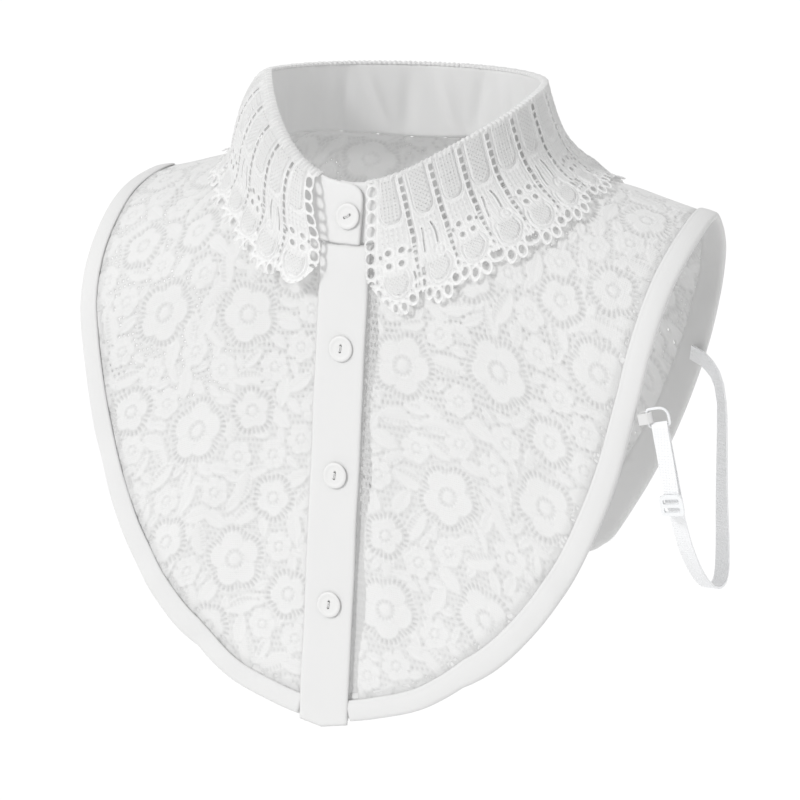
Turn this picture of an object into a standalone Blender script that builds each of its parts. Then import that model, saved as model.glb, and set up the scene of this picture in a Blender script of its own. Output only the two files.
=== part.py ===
"""A detachable lace collar (false collar, dickey), worn on a general figure.

Metres, +Z up, -Y is the front, +X is the wearer's left.  The origin is the middle of the
neck, level with the shoulder points of the neck seam, where the wearer's neck and
shoulders hold the garment.
"""
import bpy
import bmesh
import numpy as np
from functools import lru_cache
from math import cos, exp, pi, radians, sin
from mathutils import Matrix, Vector

# ---------------------------------------------------------------- the cloth
CLOTH = 0.0010            # lace panels, binding and bands are 1 mm walls
PLACKET_WALL = 0.0012
STAND_WALL = 0.0016       # two layers of cotton with a stiffener
FALL_WALL = 0.0011        # guipure lace, without its raised motifs
FALL_RELIEF = 0.0006      # how far the motifs stand above the ladders between them
GAP = 0.0003              # between pieces that are sewn together
MERGE_WITHIN = 0.00001    # corners of a turned piece that meet on its axis
NAPE_GAP = 0.0008         # share of its length by which each half of the fall stops short

# ---------------------------------------------------------------- the figure it is worn on
SHOULDER_Y = 0.018        # the shoulder line, where front and back meet
NECK_POINT_X = 0.065
NECK_RISE = 0.02          # slope of the shoulder line inside the neck,
SHOULDER_FALL = 0.350     # and outside it
SHOULDER_EASE = 0.80      # how the outer slope eases outwards
CHEST_DEPTH = -0.0557     # front of the chest at the neck's height
CHEST_SLOPE = -0.107      # forwards for each metre down
CHEST_ROUND = 0.50
CHEST_DROP = 0.0438       # height over which the shoulder turns into the chest
CHEST_DROP_OUT = 0.134
BACK_DEPTH = 0.082
BACK_ROUND = -2.75
BACK_DROP = 0.095
BACK_DROP_OUT = -0.42
BACK_POWER = 0.36         # under 1 the back is full right below the neck
BACK_POWER_OUT = 4.55
BLADE_POWER = 0.55        # and flatter beyond the shoulder blades
BLADE_FROM, BLADE_OVER = 0.055, 0.040
TURN_STEPS, DROP_STEPS = 60, 80     # samples over the shoulder's turn and below it
REACH_DOWN = 0.26
SPLINE_STEPS = 16         # samples between two rows of a spline
HOLLOW_DEEP = 0.0034      # the wearer's left shoulder dips beside the neck,
HOLLOW_AT = 0.078         # this far out, over so much along the shoulder and across it
HOLLOW_ALONG, HOLLOW_ACROSS = 0.016, 0.024
NORMAL_STEP = 0.0008      # distance over which a slope of the figure is read
TURN_STEP = 0.01          # and the angle, round the neck
BODY_MIDDLE = Vector((0.0, 0.0, -0.10))

# ---------------------------------------------------------------- neck and fold lines, from above
NECK_HALF = {"left": 0.0645, "right": 0.0680}
NECK_FRONT, NECK_BACK, NECK_MIDDLE = -0.0575, 0.0589, 0.0047
FOLD_HALF = {"left": 0.0604, "right": 0.0692}
FOLD_FRONT, FOLD_BACK, FOLD_MIDDLE = -0.0533, 0.0519, 0.0006
FOLD_TOP = 0.0306         # height of the fold line at the sides and back
FOLD_DIP = 0.0375         # how far it dips at the throat
FOLD_DIP_POWER = 2.36
FOLD_SQUARE = {"left": 1.14, "right": 1.8}
FOLD_SAG = {"left": 0.0058, "right": 0.0}      # it hangs lower beside the throat,
FOLD_SAG_AT, FOLD_SAG_OVER = radians(66), radians(27)   # at this angle and about it

# ---------------------------------------------------------------- finished outer edges
# lateral distance from the centre line, and distance down the cloth from the shoulder line
FRONT_EDGE = [  # across, down
    (0.1394, 0.0000),
    (0.1416, 0.0280),
    (0.1405, 0.0571),
    (0.1379, 0.0906),
    (0.1328, 0.1228),
    (0.1238, 0.1617),
    (0.1072, 0.2059),
    (0.0812, 0.2485),
    (0.0527, 0.2756),
    (0.0259, 0.2880),
    (0.0000, 0.2953),
]
BACK_EDGE = [  # across, down (negative: behind the shoulder line)
    (0.1394, -0.0000),
    (0.1402, -0.0100),
    (0.1393, -0.0214),
    (0.1337, -0.0486),
    (0.1247, -0.0811),
    (0.1077, -0.1281),
    (0.0853, -0.1788),
    (0.0657, -0.2185),
    (0.0480, -0.2335),
    (0.0240, -0.2415),
    (0.0000, -0.2440),
]
FRONT_COLUMNS, BACK_COLUMNS = 20, 17
TIP_CROWDING = {"front": 1.2, "back": 1.4}   # over 1 sets the columns closer by the shoulder
ROW_SHARES = np.array([0.0, 0.05, 0.11, 0.18, 0.26, 0.35, 0.45, 0.56, 0.67, 0.78, 0.89, 1.0])
EDGE_SAMPLES = 200        # points read along each outer edge,
HEM_SAMPLES = 60          # of which these lie near the centre line
SEAM_EASE = 0.0004        # half the gap along the shoulder seam
EDGE_TURN = 0.0013        # the binding folds this far outside the raw lace edge
BINDING_OUTSIDE = 0.0088  # width of the binding on the right side and inside
BINDING_INSIDE = 0.0120
BINDING_SLACK = 0.0004    # further off the lace where the edge turns over the shoulder,
SLACK_TO, SLACK_OVER = 0.160, 0.060   # up to this far down the cloth, fading over the second

# ---------------------------------------------------------------- front opening
PLACKET_RIGHT, PLACKET_LEFT = -0.0112, 0.0122
UNDERLAP_RIGHT, UNDERLAP_LEFT = -0.0102, 0.0112
PANEL_MEET = 0.0035       # the lace fronts stop this far from the centre, under the placket
BAND_COLUMNS = 3
PLACKET_BELOW = 0.0015    # the placket ends just below the hem
SEAM_BELOW_STAND = 0.0012
PLACKET_LIFT = 0.0014     # middle of the placket's wall, out from the middle of the lace
UNDERLAP_LIFT = -0.0013
BUTTON_ACROSS = 0.0014
BUTTONS_DOWN = [0.1312, 0.1860, 0.2424]
BUTTON_RADIUS = 0.0056
BUTTON_THICK = 0.0022
BUTTON_RIM = 0.0008
BUTTON_PROFILE = [         # shares of its radius and of its thickness, from the dish's rim round
    (0.86, 1.0), (1.0, 0.6), (0.9, 0.0), (0.0, 0.0)]
BUTTON_DISH = 0.72         # share of its radius that is dished
BUTTON_SIDES, BUTTON_HOLE_SIDES = 16, 6
BUTTON_HOLE_RADIUS = 0.0007
BUTTON_HOLES_APART = 0.0026
BUTTON_TURN = (0.1, 0.0, 1.0)         # its two holes stand above each other,
STAND_BUTTON_TURN = (1.0, 0.0, 0.6)   # those of the stand's button lie on a slant
STAND_BUTTON_ACROSS = 0.0004
STAND_BUTTON_UP = 0.46    # share of the stand's height

# ---------------------------------------------------------------- collar stand
STAND_OVER_END = 0.0066   # the upper end passes the centre by this much
STAND_UNDER_END = 0.0060
STAND_STEP = 0.0011       # each end steps this far out or in where the ends overlap
STAND_STEP_OVER = 0.10    # share of the stand's run over which it does so
STAND_CORNER = 0.0075     # radius of the upper corner at the front
STAND_CORNER_OVER = 0.016  # share of the run with columns close enough for it
STAND_COLUMNS, STAND_CORNER_COLUMNS, STAND_ROWS = 48, 6, 3
STAND_LEAN = 0.6          # the seam's gap widens by this where the stand leans over the lace

# ---------------------------------------------------------------- collar fall (guipure lace)
FALL_WIDTH = {"left": 0.0580, "right": 0.0548}   # below the fold, which rolls over unevenly
REPEATS = 13              # scallops on each half,
FIRST_REPEAT = 1.12       # the first one wider, in repeats
COLUMNS_PER_REPEAT = 4    # twice as many in the first repeat, round the front corner
FALL_ROWS = 9
FOLD_SAMPLES = 200        # points read along each half of the fold line
FALL_STEP = 0.0012        # distance down the fall over which its slope is read,
SHARE_STEP = 0.004        # and the share of its length
FALL_START = {"left": radians(6.5), "right": radians(12.4)}
FALL_LIFT = 0.0033
FALL_OFF_FOLD = 0.0020    # the fall turns outside the stand's upper edge by this much
FALL_OVER_FOLD = 0.0008   # and this much above it
FALL_BULGE = {"left": -0.0010, "right": 0.0052}  # outwards on the way to the shoulders,
BULGE_EARLY = {"left": 1.0, "right": 0.60}      # under 1 more of it close below the fold
FALL_BEND = 0.0110        # half the width over which it turns onto the shoulders
FALL_CONTACT = 0.0060     # it comes down this far out from the neck seam, and further:
SIDE_CONTACT = {"left": 0.000, "right": 0.010}
NAPE_CONTACT = 0.002
SCALLOP = 0.0036
SCALLOP_POWER = 0.7
SCALLOP_LEAD = 0.25       # the scallops lie this share of a repeat in front of their ladders
TIP_LONG = {"left": 0.0, "right": -0.0020}      # the first scallop, against the others
TIP_LONG_AT, TIP_LONG_OVER = 0.60, 0.55         # in repeats
FRONT_CORNER = {"left": 0.0140, "right": 0.0105}   # and rounded off towards the front edge
FRONT_CORNER_OVER = 0.30
SKEW = {"left": radians(5), "right": radians(-3.5)}
TIP_SKEW = {"left": radians(-4), "right": radians(-3.3)}
TIP_SKEW_OVER = 0.2
TIP_LIFT = {"left": 0.0004, "right": 0.0100}
TIP_LIFT_OVER = 0.6
TIP_LIFT_FROM = 0.030     # reached this far beyond the neck seam
LADDER_HOLES = {"left": 5, "right": 8}
LADDER_HOLE_RADIUS = 0.00215
LADDER_FIRST, LADDER_PITCH = 0.0048, 0.0056
LADDER_INSET = {"left": 0.0034, "right": 0.0037}
LADDER_SIDES = 8

# ---------------------------------------------------------------- elastic straps
STRAP_WIDTH = 0.0065
STRAP_WALL = 0.0010
RING_WIRE = 0.0006
RING_WIDE, RING_TALL = 0.0098, 0.0092
RING_CORNERS = [0.0010, 0.0010, 0.0038, 0.0010]
TAB_WIDTH = 0.0046
TAB_UP = 0.0005           # the tab holds the ring's inner bar just above its middle
SLIDER_WIDE, SLIDER_TALL, SLIDER_THICK = 0.0100, 0.0092, 0.0014
SLIDER_BAR = 0.0015
SLIDER_CORNER, SLOT_CORNER = 0.0016, 0.0006
SLIDER_LOW = 0.10         # share of its height by which it hangs below the upper band's end
UPPER_POINTS, LOWER_POINTS, TAB_POINTS = 9, 64, 4
START_EASE = 7.5          # points of the lower band over which its offset at the slider fades
LOOP_STEPS = 3            # points round a small corner of a ring or slider,
WIDE_CORNER = 0.003       # two more from this radius up
STRAP_ROUTES = {
    "left": dict(
        tab_root=(0.1352, -0.0566, -0.0942), tab_runs=(0.93, 0.35, -0.10),
        route=[  # x, y, z, then the way the band's outer face looks
            (0.1435, -0.0530, -0.0979, 0.3, -1.0, 0.0),
            (0.1457, -0.0500, -0.1141, 0.2, -1.0, 0.0),
            (0.1474, -0.0460, -0.1311, 0.1, -1.0, -0.1),
            (0.1479, -0.0420, -0.1400, 0.1, -1.0, -0.2),
            (0.1483, -0.0340, -0.1537, 0.1, -1.0, -0.6),
            (0.1484, -0.0220, -0.1673, 0.0, -0.8, -1.0),
            (0.1480, -0.0080, -0.1775, 0.0, -0.3, -1.0),
            (0.1477, 0.0030, -0.1806, 0.0, 0.2, -1.0),
            (0.1468, 0.0115, -0.1780, 0.1, 1.0, -1.0),
            (0.1442, 0.0190, -0.1675, 0.2, 1.0, -0.4),
            (0.1412, 0.0245, -0.1459, 0.4, 1.0, 0.0),
            (0.1393, 0.0280, -0.1159, 0.6, 1.0, 0.0),
            (0.1379, 0.0296, -0.1035, 0.7, 1.0, 0.1),
            (0.1350, 0.0308, -0.0950, 0.6, 1.0, 0.1),
            (0.1303, 0.0319, -0.0898, 0.56, 1.0, 0.0),
            (0.1253, 0.0344, -0.0876, 0.56, 0.83, 0.0),
            (0.1201, 0.0378, -0.0868, 0.56, 0.83, 0.0),
        ]),
    "right": dict(
        tab_root=(-0.1288, -0.0538, -0.0945), tab_runs=(0.30, 0.90, -0.25),
        route=[
            (-0.1262, -0.0430, -0.1005, -1.0, 0.3, 0.0),
            (-0.1252, -0.0410, -0.1150, -1.0, -0.1, 0.0),
            (-0.1240, -0.0372, -0.1300, -0.8, -0.6, 0.0),
            (-0.1232, -0.0335, -0.1390, -0.6, -0.9, -0.2),
            (-0.1215, -0.0240, -0.1510, -0.3, -1.0, -0.6),
            (-0.1200, -0.0120, -0.1600, 0.0, -0.5, -1.0),
            (-0.1192, 0.0010, -0.1625, 0.0, 0.1, -1.0),
            (-0.1192, 0.0125, -0.1560, 0.0, 0.9, -1.0),
            (-0.1200, 0.0215, -0.1400, -0.2, 1.0, -0.3),
            (-0.1212, 0.0270, -0.1200, -0.4, 1.0, 0.0),
            (-0.1220, 0.0305, -0.1050, -0.5, 1.0, 0.0),
            (-0.1215, 0.0345, -0.0955, -0.56, 0.83, -0.1),
            (-0.1199, 0.0378, -0.0868, -0.56, 0.83, 0.0),
        ]),
}
UPPER_ROWS = 3            # the first rows run from the ring to the slider

COTTON = ("cotton", (0.86, 0.86, 0.85), 0.75)
LACE = ("lace", (0.84, 0.84, 0.83), 0.70)
GUIPURE = ("guipure", (0.86, 0.86, 0.85), 0.65)
BUTTON = ("button", (0.88, 0.88, 0.87), 0.28)
ELASTIC = ("elastic", (0.82, 0.83, 0.84), 0.45)
PLASTIC = ("clear_plastic", (0.84, 0.85, 0.86), 0.25)


# ---------------------------------------------------------------- scene helpers
def clear_scene():
    for thing in list(bpy.data.objects):
        bpy.data.objects.remove(thing, do_unlink=True)


def collection(name):
    group = bpy.data.collections.new(name)
    bpy.context.scene.collection.children.link(group)
    return group


def material(name, finish):
    kind, colour, rough = finish
    made = bpy.data.materials.new(name + "_" + kind)
    made.use_nodes = True
    shader = made.node_tree.nodes["Principled BSDF"]
    shader.inputs["Base Color"].default_value = (*colour, 1.0)
    shader.inputs["Roughness"].default_value = rough
    shader.inputs["Metallic"].default_value = 0.0
    made.diffuse_color = (*colour, 1.0)
    return made


def add(name, mesh, finish, smooth=True):
    piece = bpy.data.objects.new(name, mesh)
    PIECES.objects.link(piece)
    mesh.materials.append(material(name, finish))
    if smooth:
        mesh.shade_smooth()
    return piece


def split_outwards(form):
    """Split each four-cornered face along the diagonal that stands further out.

    Pieces that lie on each other then fold along the same lines.
    """
    form.normal_update()
    for face in [f for f in form.faces if len(f.verts) == 4]:
        a, b, c, d = face.verts
        out = face.normal
        if out.dot(face.calc_center_median() - BODY_MIDDLE) < 0:
            out = -out
        if (a.co + c.co - b.co - d.co).dot(out) > 0:
            bmesh.utils.face_split(face, a, c)
        else:
            bmesh.utils.face_split(face, b, d)


def grid_mesh(name, columns, rows, point):
    """An open sheet of columns x rows faces whose corners are point(u, v), u and v from 0 to 1."""
    mesh = bpy.data.meshes.new(name)
    form = bmesh.new()
    bmesh.ops.create_grid(form, x_segments=columns, y_segments=rows, size=0.5)
    for vert in form.verts:
        vert.co = Vector(point(vert.co.x + 0.5, vert.co.y + 0.5))
    split_outwards(form)
    form.to_mesh(mesh)
    form.free()
    return mesh


def sheet(name, columns, rows, point, thickness, finish, offset=0.0):
    """A wall of even thickness about a sheet of points."""
    piece = add(name, grid_mesh(name, columns, rows, point), finish)
    shell = piece.modifiers.new("wall", "SOLIDIFY")
    shell.thickness = thickness
    shell.offset = offset
    shell.use_even_offset = True
    return piece


def loft(name, rings, ends, finish):
    """A solid through a run of closed sections with the same corners; ends lists the end faces."""
    mesh = bpy.data.meshes.new(name)
    form = bmesh.new()
    loops = [[form.verts.new(corner) for corner in ring] for ring in rings]
    around = len(loops[0])
    for first, second in zip(loops, loops[1:]):
        for k in range(around):
            n = (k + 1) % around
            form.faces.new((first[k], first[n], second[n], second[k]))
    for corners in ends:
        form.faces.new([loops[0][k] for k in corners])
        form.faces.new([loops[-1][k] for k in reversed(corners)])
    split_outwards(form)
    bmesh.ops.recalc_face_normals(form, faces=form.faces)
    form.to_mesh(mesh)
    form.free()
    return add(name, mesh, finish)


def turned_cutter(name, places, radius, depth, sides):
    """One cutter of several round pegs, each at a matrix."""
    mesh = bpy.data.meshes.new(name)
    form = bmesh.new()
    for place in places:
        bmesh.ops.create_cone(form, cap_ends=True, segments=sides, radius1=radius,
                              radius2=radius, depth=depth, matrix=place)
    form.to_mesh(mesh)
    form.free()
    cutter = bpy.data.objects.new(name, mesh)
    CUTTERS.objects.link(cutter)
    cutter.hide_render = True
    cutter.display_type = "WIRE"
    return cutter


def cut(piece, cutter):
    saw = piece.modifiers.new("cut", "BOOLEAN")
    saw.operation = "DIFFERENCE"
    saw.solver = "EXACT"
    saw.object = cutter


def frame_at(point, normal, along):
    """A matrix at a point, its Z along the normal and its X near the given direction."""
    up = Vector(normal).normalized()
    across = Vector(along)
    across = (across - up * across.dot(up)).normalized()
    turn = Matrix((across, up.cross(across), up)).transposed()
    return Matrix.Translation(Vector(point)) @ turn.to_4x4()


# ---------------------------------------------------------------- curves
def smooth(share):
    share = min(max(share, 0.0), 1.0)
    return share * share * (3.0 - 2.0 * share)


def bell(value, over):
    return exp(-(value / over) ** 2)


def spline(rows, count):
    """Evenly spaced points on a smooth curve through the rows."""
    rows = np.array(rows, float)
    ends = np.vstack([2 * rows[0] - rows[1], rows, 2 * rows[-1] - rows[-2]])
    fine = []
    for k in range(1, len(ends) - 2):
        a, b, c, d = ends[k - 1:k + 3]
        for t in np.linspace(0, 1, SPLINE_STEPS, endpoint=False):
            fine.append(0.5 * (2 * b + (c - a) * t + (2 * a - 5 * b + 4 * c - d) * t * t
                               + (3 * b - a - 3 * c + d) * t ** 3))
    fine = np.array(fine + [rows[-1]])
    run = np.concatenate([[0], np.cumsum(np.linalg.norm(np.diff(fine, axis=0), axis=1))])
    want = np.linspace(0, run[-1], count)
    return np.stack([np.interp(want, run, fine[:, k]) for k in range(rows.shape[1])], 1)


# ---------------------------------------------------------------- the figure's surface
def shoulder_z(x):
    out = abs(x) - NECK_POINT_X
    return -NECK_RISE * out if out < 0 else -(SHOULDER_FALL * out - SHOULDER_EASE * out * out)


@lru_cache(maxsize=None)
def fore_and_aft(x, front):
    """Length down the cloth, y and z along one line from the shoulder to the hem."""
    if front:
        drop, power = CHEST_DROP + CHEST_DROP_OUT * x, 1.0
    else:
        drop = BACK_DROP + BACK_DROP_OUT * x
        power = BACK_POWER + BACK_POWER_OUT * x + BLADE_POWER * smooth((x - BLADE_FROM) / BLADE_OVER)
    turn = np.linspace(0, 1, TURN_STEPS) ** (1 / power) * pi / 2
    below = np.linspace(REACH_DOWN / DROP_STEPS, REACH_DOWN, DROP_STEPS)
    z = shoulder_z(x) - np.concatenate([drop * (1 - np.cos(turn)), drop + below])
    reach = np.concatenate([np.sin(turn) ** power, np.ones(DROP_STEPS)])
    if front:
        far = CHEST_DEPTH - CHEST_SLOPE * z + CHEST_ROUND * x * x
    else:
        far = BACK_DEPTH + BACK_ROUND * x * x
    y = SHOULDER_Y + (far - SHOULDER_Y) * reach
    down = np.concatenate([[0], np.cumsum(np.hypot(np.diff(y), np.diff(z)))])
    return down, y, z


def figure(x, down):
    """A point of the figure: down is positive over the chest and negative over the back."""
    length, y, z = fore_and_aft(round(abs(x), 5), down >= 0)
    hollow = HOLLOW_DEEP * exp(-((x - HOLLOW_AT) / HOLLOW_ALONG) ** 2 - (down / HOLLOW_ACROSS) ** 2)
    return np.array([x, np.interp(abs(down), length, y), np.interp(abs(down), length, z) - hollow])


def outward(x, down):
    fall = figure(x, down + NORMAL_STEP) - figure(x, down - NORMAL_STEP)
    aside = figure(x + NORMAL_STEP, down) - figure(x - NORMAL_STEP, down)
    normal = np.cross(fall, aside)
    return normal / np.linalg.norm(normal)


def cloth(x, down, lift=0.0):
    return figure(x, down) + lift * outward(x, down)


def down_at_y(x, y):
    front = y < SHOULDER_Y
    length, ys, _ = fore_and_aft(round(abs(x), 5), front)
    if front:
        return np.interp(-y, -ys[:TURN_STEPS], length[:TURN_STEPS])
    return -np.interp(y, ys[:TURN_STEPS], length[:TURN_STEPS])


# ---------------------------------------------------------------- neck and fold lines
# An angle round the neck is 0 at the throat and pi at the nape, on either side.
def neck_line(side, angle):
    sign = 1 if side == "left" else -1
    x = sign * NECK_HALF[side] * sin(angle)
    reach = (NECK_FRONT - NECK_MIDDLE) if cos(angle) > 0 else (NECK_MIDDLE - NECK_BACK)
    return np.array([x, down_at_y(x, NECK_MIDDLE + reach * cos(angle))])


def shoulder_angle():
    return pi - np.arccos((SHOULDER_Y - NECK_MIDDLE) / (NECK_BACK - NECK_MIDDLE))


def fold_line(side, angle):
    sign = 1 if side == "left" else -1
    c = cos(angle)
    if c > 0:
        y = FOLD_MIDDLE + (FOLD_FRONT - FOLD_MIDDLE) * c ** FOLD_SQUARE[side]
    else:
        y = FOLD_MIDDLE - (FOLD_BACK - FOLD_MIDDLE) * c
    z = FOLD_TOP - FOLD_DIP * max(c, 0.0) ** FOLD_DIP_POWER
    z -= FOLD_SAG[side] * bell(angle - FOLD_SAG_AT, FOLD_SAG_OVER)
    return np.array([sign * FOLD_HALF[side] * sin(angle), y, z])


def neck_normal(side, angle):
    """Away from the neck, in across and down."""
    run = neck_line(side, angle + TURN_STEP) - neck_line(side, angle - TURN_STEP)
    away = np.array([-run[1], run[0]]) / np.linalg.norm(run)
    return away if side == "left" else -away


# ---------------------------------------------------------------- panels
def finished_edge(side, part, count):
    """The outer edge of a front or of half the back, from the shoulder to the centre."""
    sign = 1 if side == "left" else -1
    rows = spline(FRONT_EDGE if part == "front" else BACK_EDGE, count)
    rows[:, 0] *= sign
    return rows


def inset(rows, amount):
    """The rows moved away from the edge, into the cloth."""
    run = np.gradient(rows, axis=0)
    run /= np.linalg.norm(run, axis=1)[:, None]
    across = np.stack([-run[:, 1], run[:, 0]], 1)
    middle = np.array([0.0, rows[-1, 1] / 2])
    inward = np.sign(((middle - rows) * across).sum(1))[:, None]
    return rows + across * inward * amount


def panel_half(side, part, columns):
    """Neck line and raw outer edge of half a panel, from the centre to the shoulder.

    A front's first two columns run straight down, at its raw edge and beside the placket.
    """
    sign = 1 if side == "left" else -1
    edge = inset(finished_edge(side, part, EDGE_SAMPLES), EDGE_TURN)[::-1]
    edge[-1] = (sign * (FRONT_EDGE[0][0] - EDGE_TURN), 0.0)
    across = np.maximum.accumulate(sign * edge[:HEM_SAMPLES, 0])
    stops = [PANEL_MEET, placket_side(side)] if part == "front" else [0.0]
    first = [np.interp(stop, across, np.arange(HEM_SAMPLES)) for stop in stops]
    shares = 1 - np.linspace(1, 0, columns + 2 - len(stops)) ** TIP_CROWDING[part]
    run = np.concatenate([first[:-1], first[-1] + (len(edge) - 1 - first[-1]) * shares])
    outer = np.stack([np.interp(run, np.arange(len(edge)), edge[:, k]) for k in (0, 1)], 1)
    outer[:len(stops), 0] = sign * np.array(stops)
    centre = [np.arcsin(stop / NECK_HALF[side]) for stop in stops]
    if part == "back":
        centre = [pi - angle for angle in centre]
    angles = np.concatenate([centre[:-1], centre[-1] + (shoulder_angle() - centre[-1]) * shares])
    inner = np.array([neck_line(side, angle) for angle in angles])
    return inner, outer


def placket_side(side):
    """Where the binding starts, just beside the placket."""
    return (PLACKET_LEFT if side == "left" else -PLACKET_RIGHT) + GAP


def panel_rows(inner, outer):
    """Shares from the neck line to the raw edge; the last row is as deep as the binding."""
    last = 1.0 - (BINDING_INSIDE + GAP) / np.linalg.norm(outer - inner)
    return np.concatenate([last * ROW_SHARES, [1.0]])


def panel_point(inner, outer, row, seam):
    across, down = inner + (outer - inner) * panel_rows(inner, outer)[row]
    if seam > 0:
        return across, max(down, seam)
    return across, min(down, seam)


def front_panel(side):
    inner, outer = panel_half(side, "front", FRONT_COLUMNS)
    rows = len(ROW_SHARES)

    def point(u, v):
        k = round(u * FRONT_COLUMNS)
        return cloth(*panel_point(inner[k], outer[k], round(v * rows), SEAM_EASE))
    return sheet("front_" + side, FRONT_COLUMNS, rows, point, CLOTH, LACE)


def back_panel():
    right = panel_half("right", "back", BACK_COLUMNS)
    left = panel_half("left", "back", BACK_COLUMNS)
    inner = np.vstack([right[0][::-1], left[0][1:]])
    outer = np.vstack([right[1][::-1], left[1][1:]])
    rows = len(ROW_SHARES)

    def point(u, v):
        k = round(u * 2 * BACK_COLUMNS)
        return cloth(*panel_point(inner[k], outer[k], round(v * rows), -SEAM_EASE))
    return sheet("back", 2 * BACK_COLUMNS, rows, point, CLOTH, LACE)


def binding(side):
    """The folded strip round the raw edge, from the front hem over the shoulder to the back hem.

    Each of its sections stands on two points of the panel: the raw edge and the last row.
    """
    def section(slack):
        half, full = CLOTH / 2 + GAP + slack, 1.5 * CLOTH + GAP + slack
        outside, inside = BINDING_OUTSIDE - EDGE_TURN, BINDING_INSIDE - EDGE_TURN
        return [  # distance in from the raw edge, lift from the middle of the lace
            (-EDGE_TURN, full), (outside, full), (outside, half), (-GAP, half),
            (-GAP, -half), (inside, -half), (inside, -full), (-EDGE_TURN, -full)]

    front = panel_half(side, "front", FRONT_COLUMNS)
    back = panel_half(side, "back", BACK_COLUMNS)
    rings = []
    for part, (inner, outer) in (("front", front), ("back", back)):
        seam = SEAM_EASE if part == "front" else -SEAM_EASE
        order = range(1, len(inner)) if part == "front" else range(len(inner) - 1, -1, -1)
        for k in order:
            last = len(ROW_SHARES)
            raw = panel_point(inner[k], outer[k], last, seam)
            deep = panel_point(inner[k], outer[k], last - 1, seam)
            edge, within = cloth(*raw), cloth(*deep)
            if part == "back" and k == 0:
                shift = (1 if side == "left" else -1) * np.array([GAP / 2, 0.0, 0.0])
                edge, within = edge + shift, within + shift
            into = (within - edge) / np.linalg.norm(within - edge)
            out = outward(*((np.array(raw) + np.array(deep)) / 2))
            out = out - into * float(out @ into)
            out /= np.linalg.norm(out)
            slack = BINDING_SLACK * smooth((SLACK_TO - abs(raw[1])) / SLACK_OVER)
            rings.append([edge + into * depth + out * lift for depth, lift in section(slack)])
    return loft("binding_" + side, rings, [(0, 1, 2, 3), (0, 3, 4, 7), (4, 5, 6, 7)], COTTON)


# ---------------------------------------------------------------- front opening
def front_band(name, right, left, lift, wall, top, below):
    """A straight cotton strip down the centre front, on the panel's own rows."""
    rows = len(ROW_SHARES)
    hem = inset(finished_edge("left", "front", EDGE_SAMPLES), EDGE_TURN)[:-HEM_SAMPLES:-1]

    def point(u, v):
        across = right + (left - right) * u
        side = "left" if across > 0 else "right"
        neck = neck_line(side, np.arcsin(abs(across) / NECK_HALF[side]))
        raw = np.array([across, np.interp(abs(across), hem[:, 0], hem[:, 1])])
        row = round(v * rows)
        down = panel_point(neck, raw, row, SEAM_EASE)[1]
        if row == 0:
            down += top
        elif row == rows:
            down += EDGE_TURN + below
        return cloth(across, down, lift)
    return sheet(name, BAND_COLUMNS, rows, point, wall, COTTON)


def button_profile():
    """Half the outline of a button, from its upper middle round to its lower middle."""
    dish = BUTTON_THICK - BUTTON_RIM
    rim = [(r * BUTTON_RADIUS, z * BUTTON_THICK) for r, z in BUTTON_PROFILE]
    return [(0.0, dish), (BUTTON_DISH * BUTTON_RADIUS, dish)] + rim


def button(number, place):
    name = "button_%d" % number
    mesh = bpy.data.meshes.new(name)
    profile = button_profile()
    mesh.from_pydata([(r, 0.0, z) for r, z in profile],
                     [(k, k + 1) for k in range(len(profile) - 1)], [])
    piece = add(name, mesh, BUTTON, smooth=False)
    piece.matrix_world = place
    turn = piece.modifiers.new("turn", "SCREW")
    turn.steps = turn.render_steps = BUTTON_SIDES
    turn.use_merge_vertices = True
    turn.merge_threshold = MERGE_WITHIN
    holes = [place @ Matrix.Translation((s * BUTTON_HOLES_APART / 2, 0.0, BUTTON_THICK / 2))
             for s in (-1, 1)]
    cut(piece, turned_cutter(name + "_holes", holes, BUTTON_HOLE_RADIUS, 3 * BUTTON_THICK,
                             BUTTON_HOLE_SIDES))


def buttons():
    over = PLACKET_LIFT + PLACKET_WALL / 2 + GAP
    for number, down in enumerate(BUTTONS_DOWN, start=2):
        place = frame_at(cloth(BUTTON_ACROSS, down, over), outward(BUTTON_ACROSS, down), BUTTON_TURN)
        button(number, place)
    point, out = stand_point(stand_over_share(STAND_BUTTON_ACROSS), STAND_BUTTON_UP, normal=True)
    place = frame_at(point + out * (STAND_WALL / 2 + GAP), out, STAND_BUTTON_TURN)
    button(1, place)


# ---------------------------------------------------------------- collar stand
def stand_ends():
    over = -STAND_OVER_END / FOLD_HALF["right"]
    under = -STAND_UNDER_END / FOLD_HALF["left"]
    return over, under


def round_neck(share):
    """Side and angle at a share of the stand's run, from its upper end to its under end."""
    over, under = stand_ends()
    turn = over + share * (2 * pi - over - under)
    return ("right", turn) if turn < pi else ("left", 2 * pi - turn)


def stand_over_share(across):
    over, under = stand_ends()
    return (-across / FOLD_HALF["right"] - over) / (2 * pi - over - under)


def stand_edges(share):
    side, angle = round_neck(share)
    step = STAND_STEP * (smooth((1 - share) / STAND_STEP_OVER) - smooth(share / STAND_STEP_OVER))
    seam, fold = cloth(*neck_line(side, angle)), fold_line(side, angle)
    sign = 1 if side == "left" else -1
    away = np.array([sign * sin(angle), -cos(angle), 0.0])
    rise = (fold - seam) / np.linalg.norm(fold - seam)
    out = outward(*neck_line(side, angle))
    clear = (GAP + CLOTH / 2 * abs(float(out @ rise))
             + STAND_LEAN * STAND_WALL / 2 * abs(float(out @ away)))
    return seam + rise * clear + away * step, fold + away * step, away, rise


@lru_cache(maxsize=None)
def stand_length():
    """Length of the stand's seam, from its upper end to its under end."""
    line = np.array([stand_edges(share)[0] for share in np.linspace(0, 1, EDGE_SAMPLES)])
    return float(np.linalg.norm(np.diff(line, axis=0), axis=1).sum())


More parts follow.
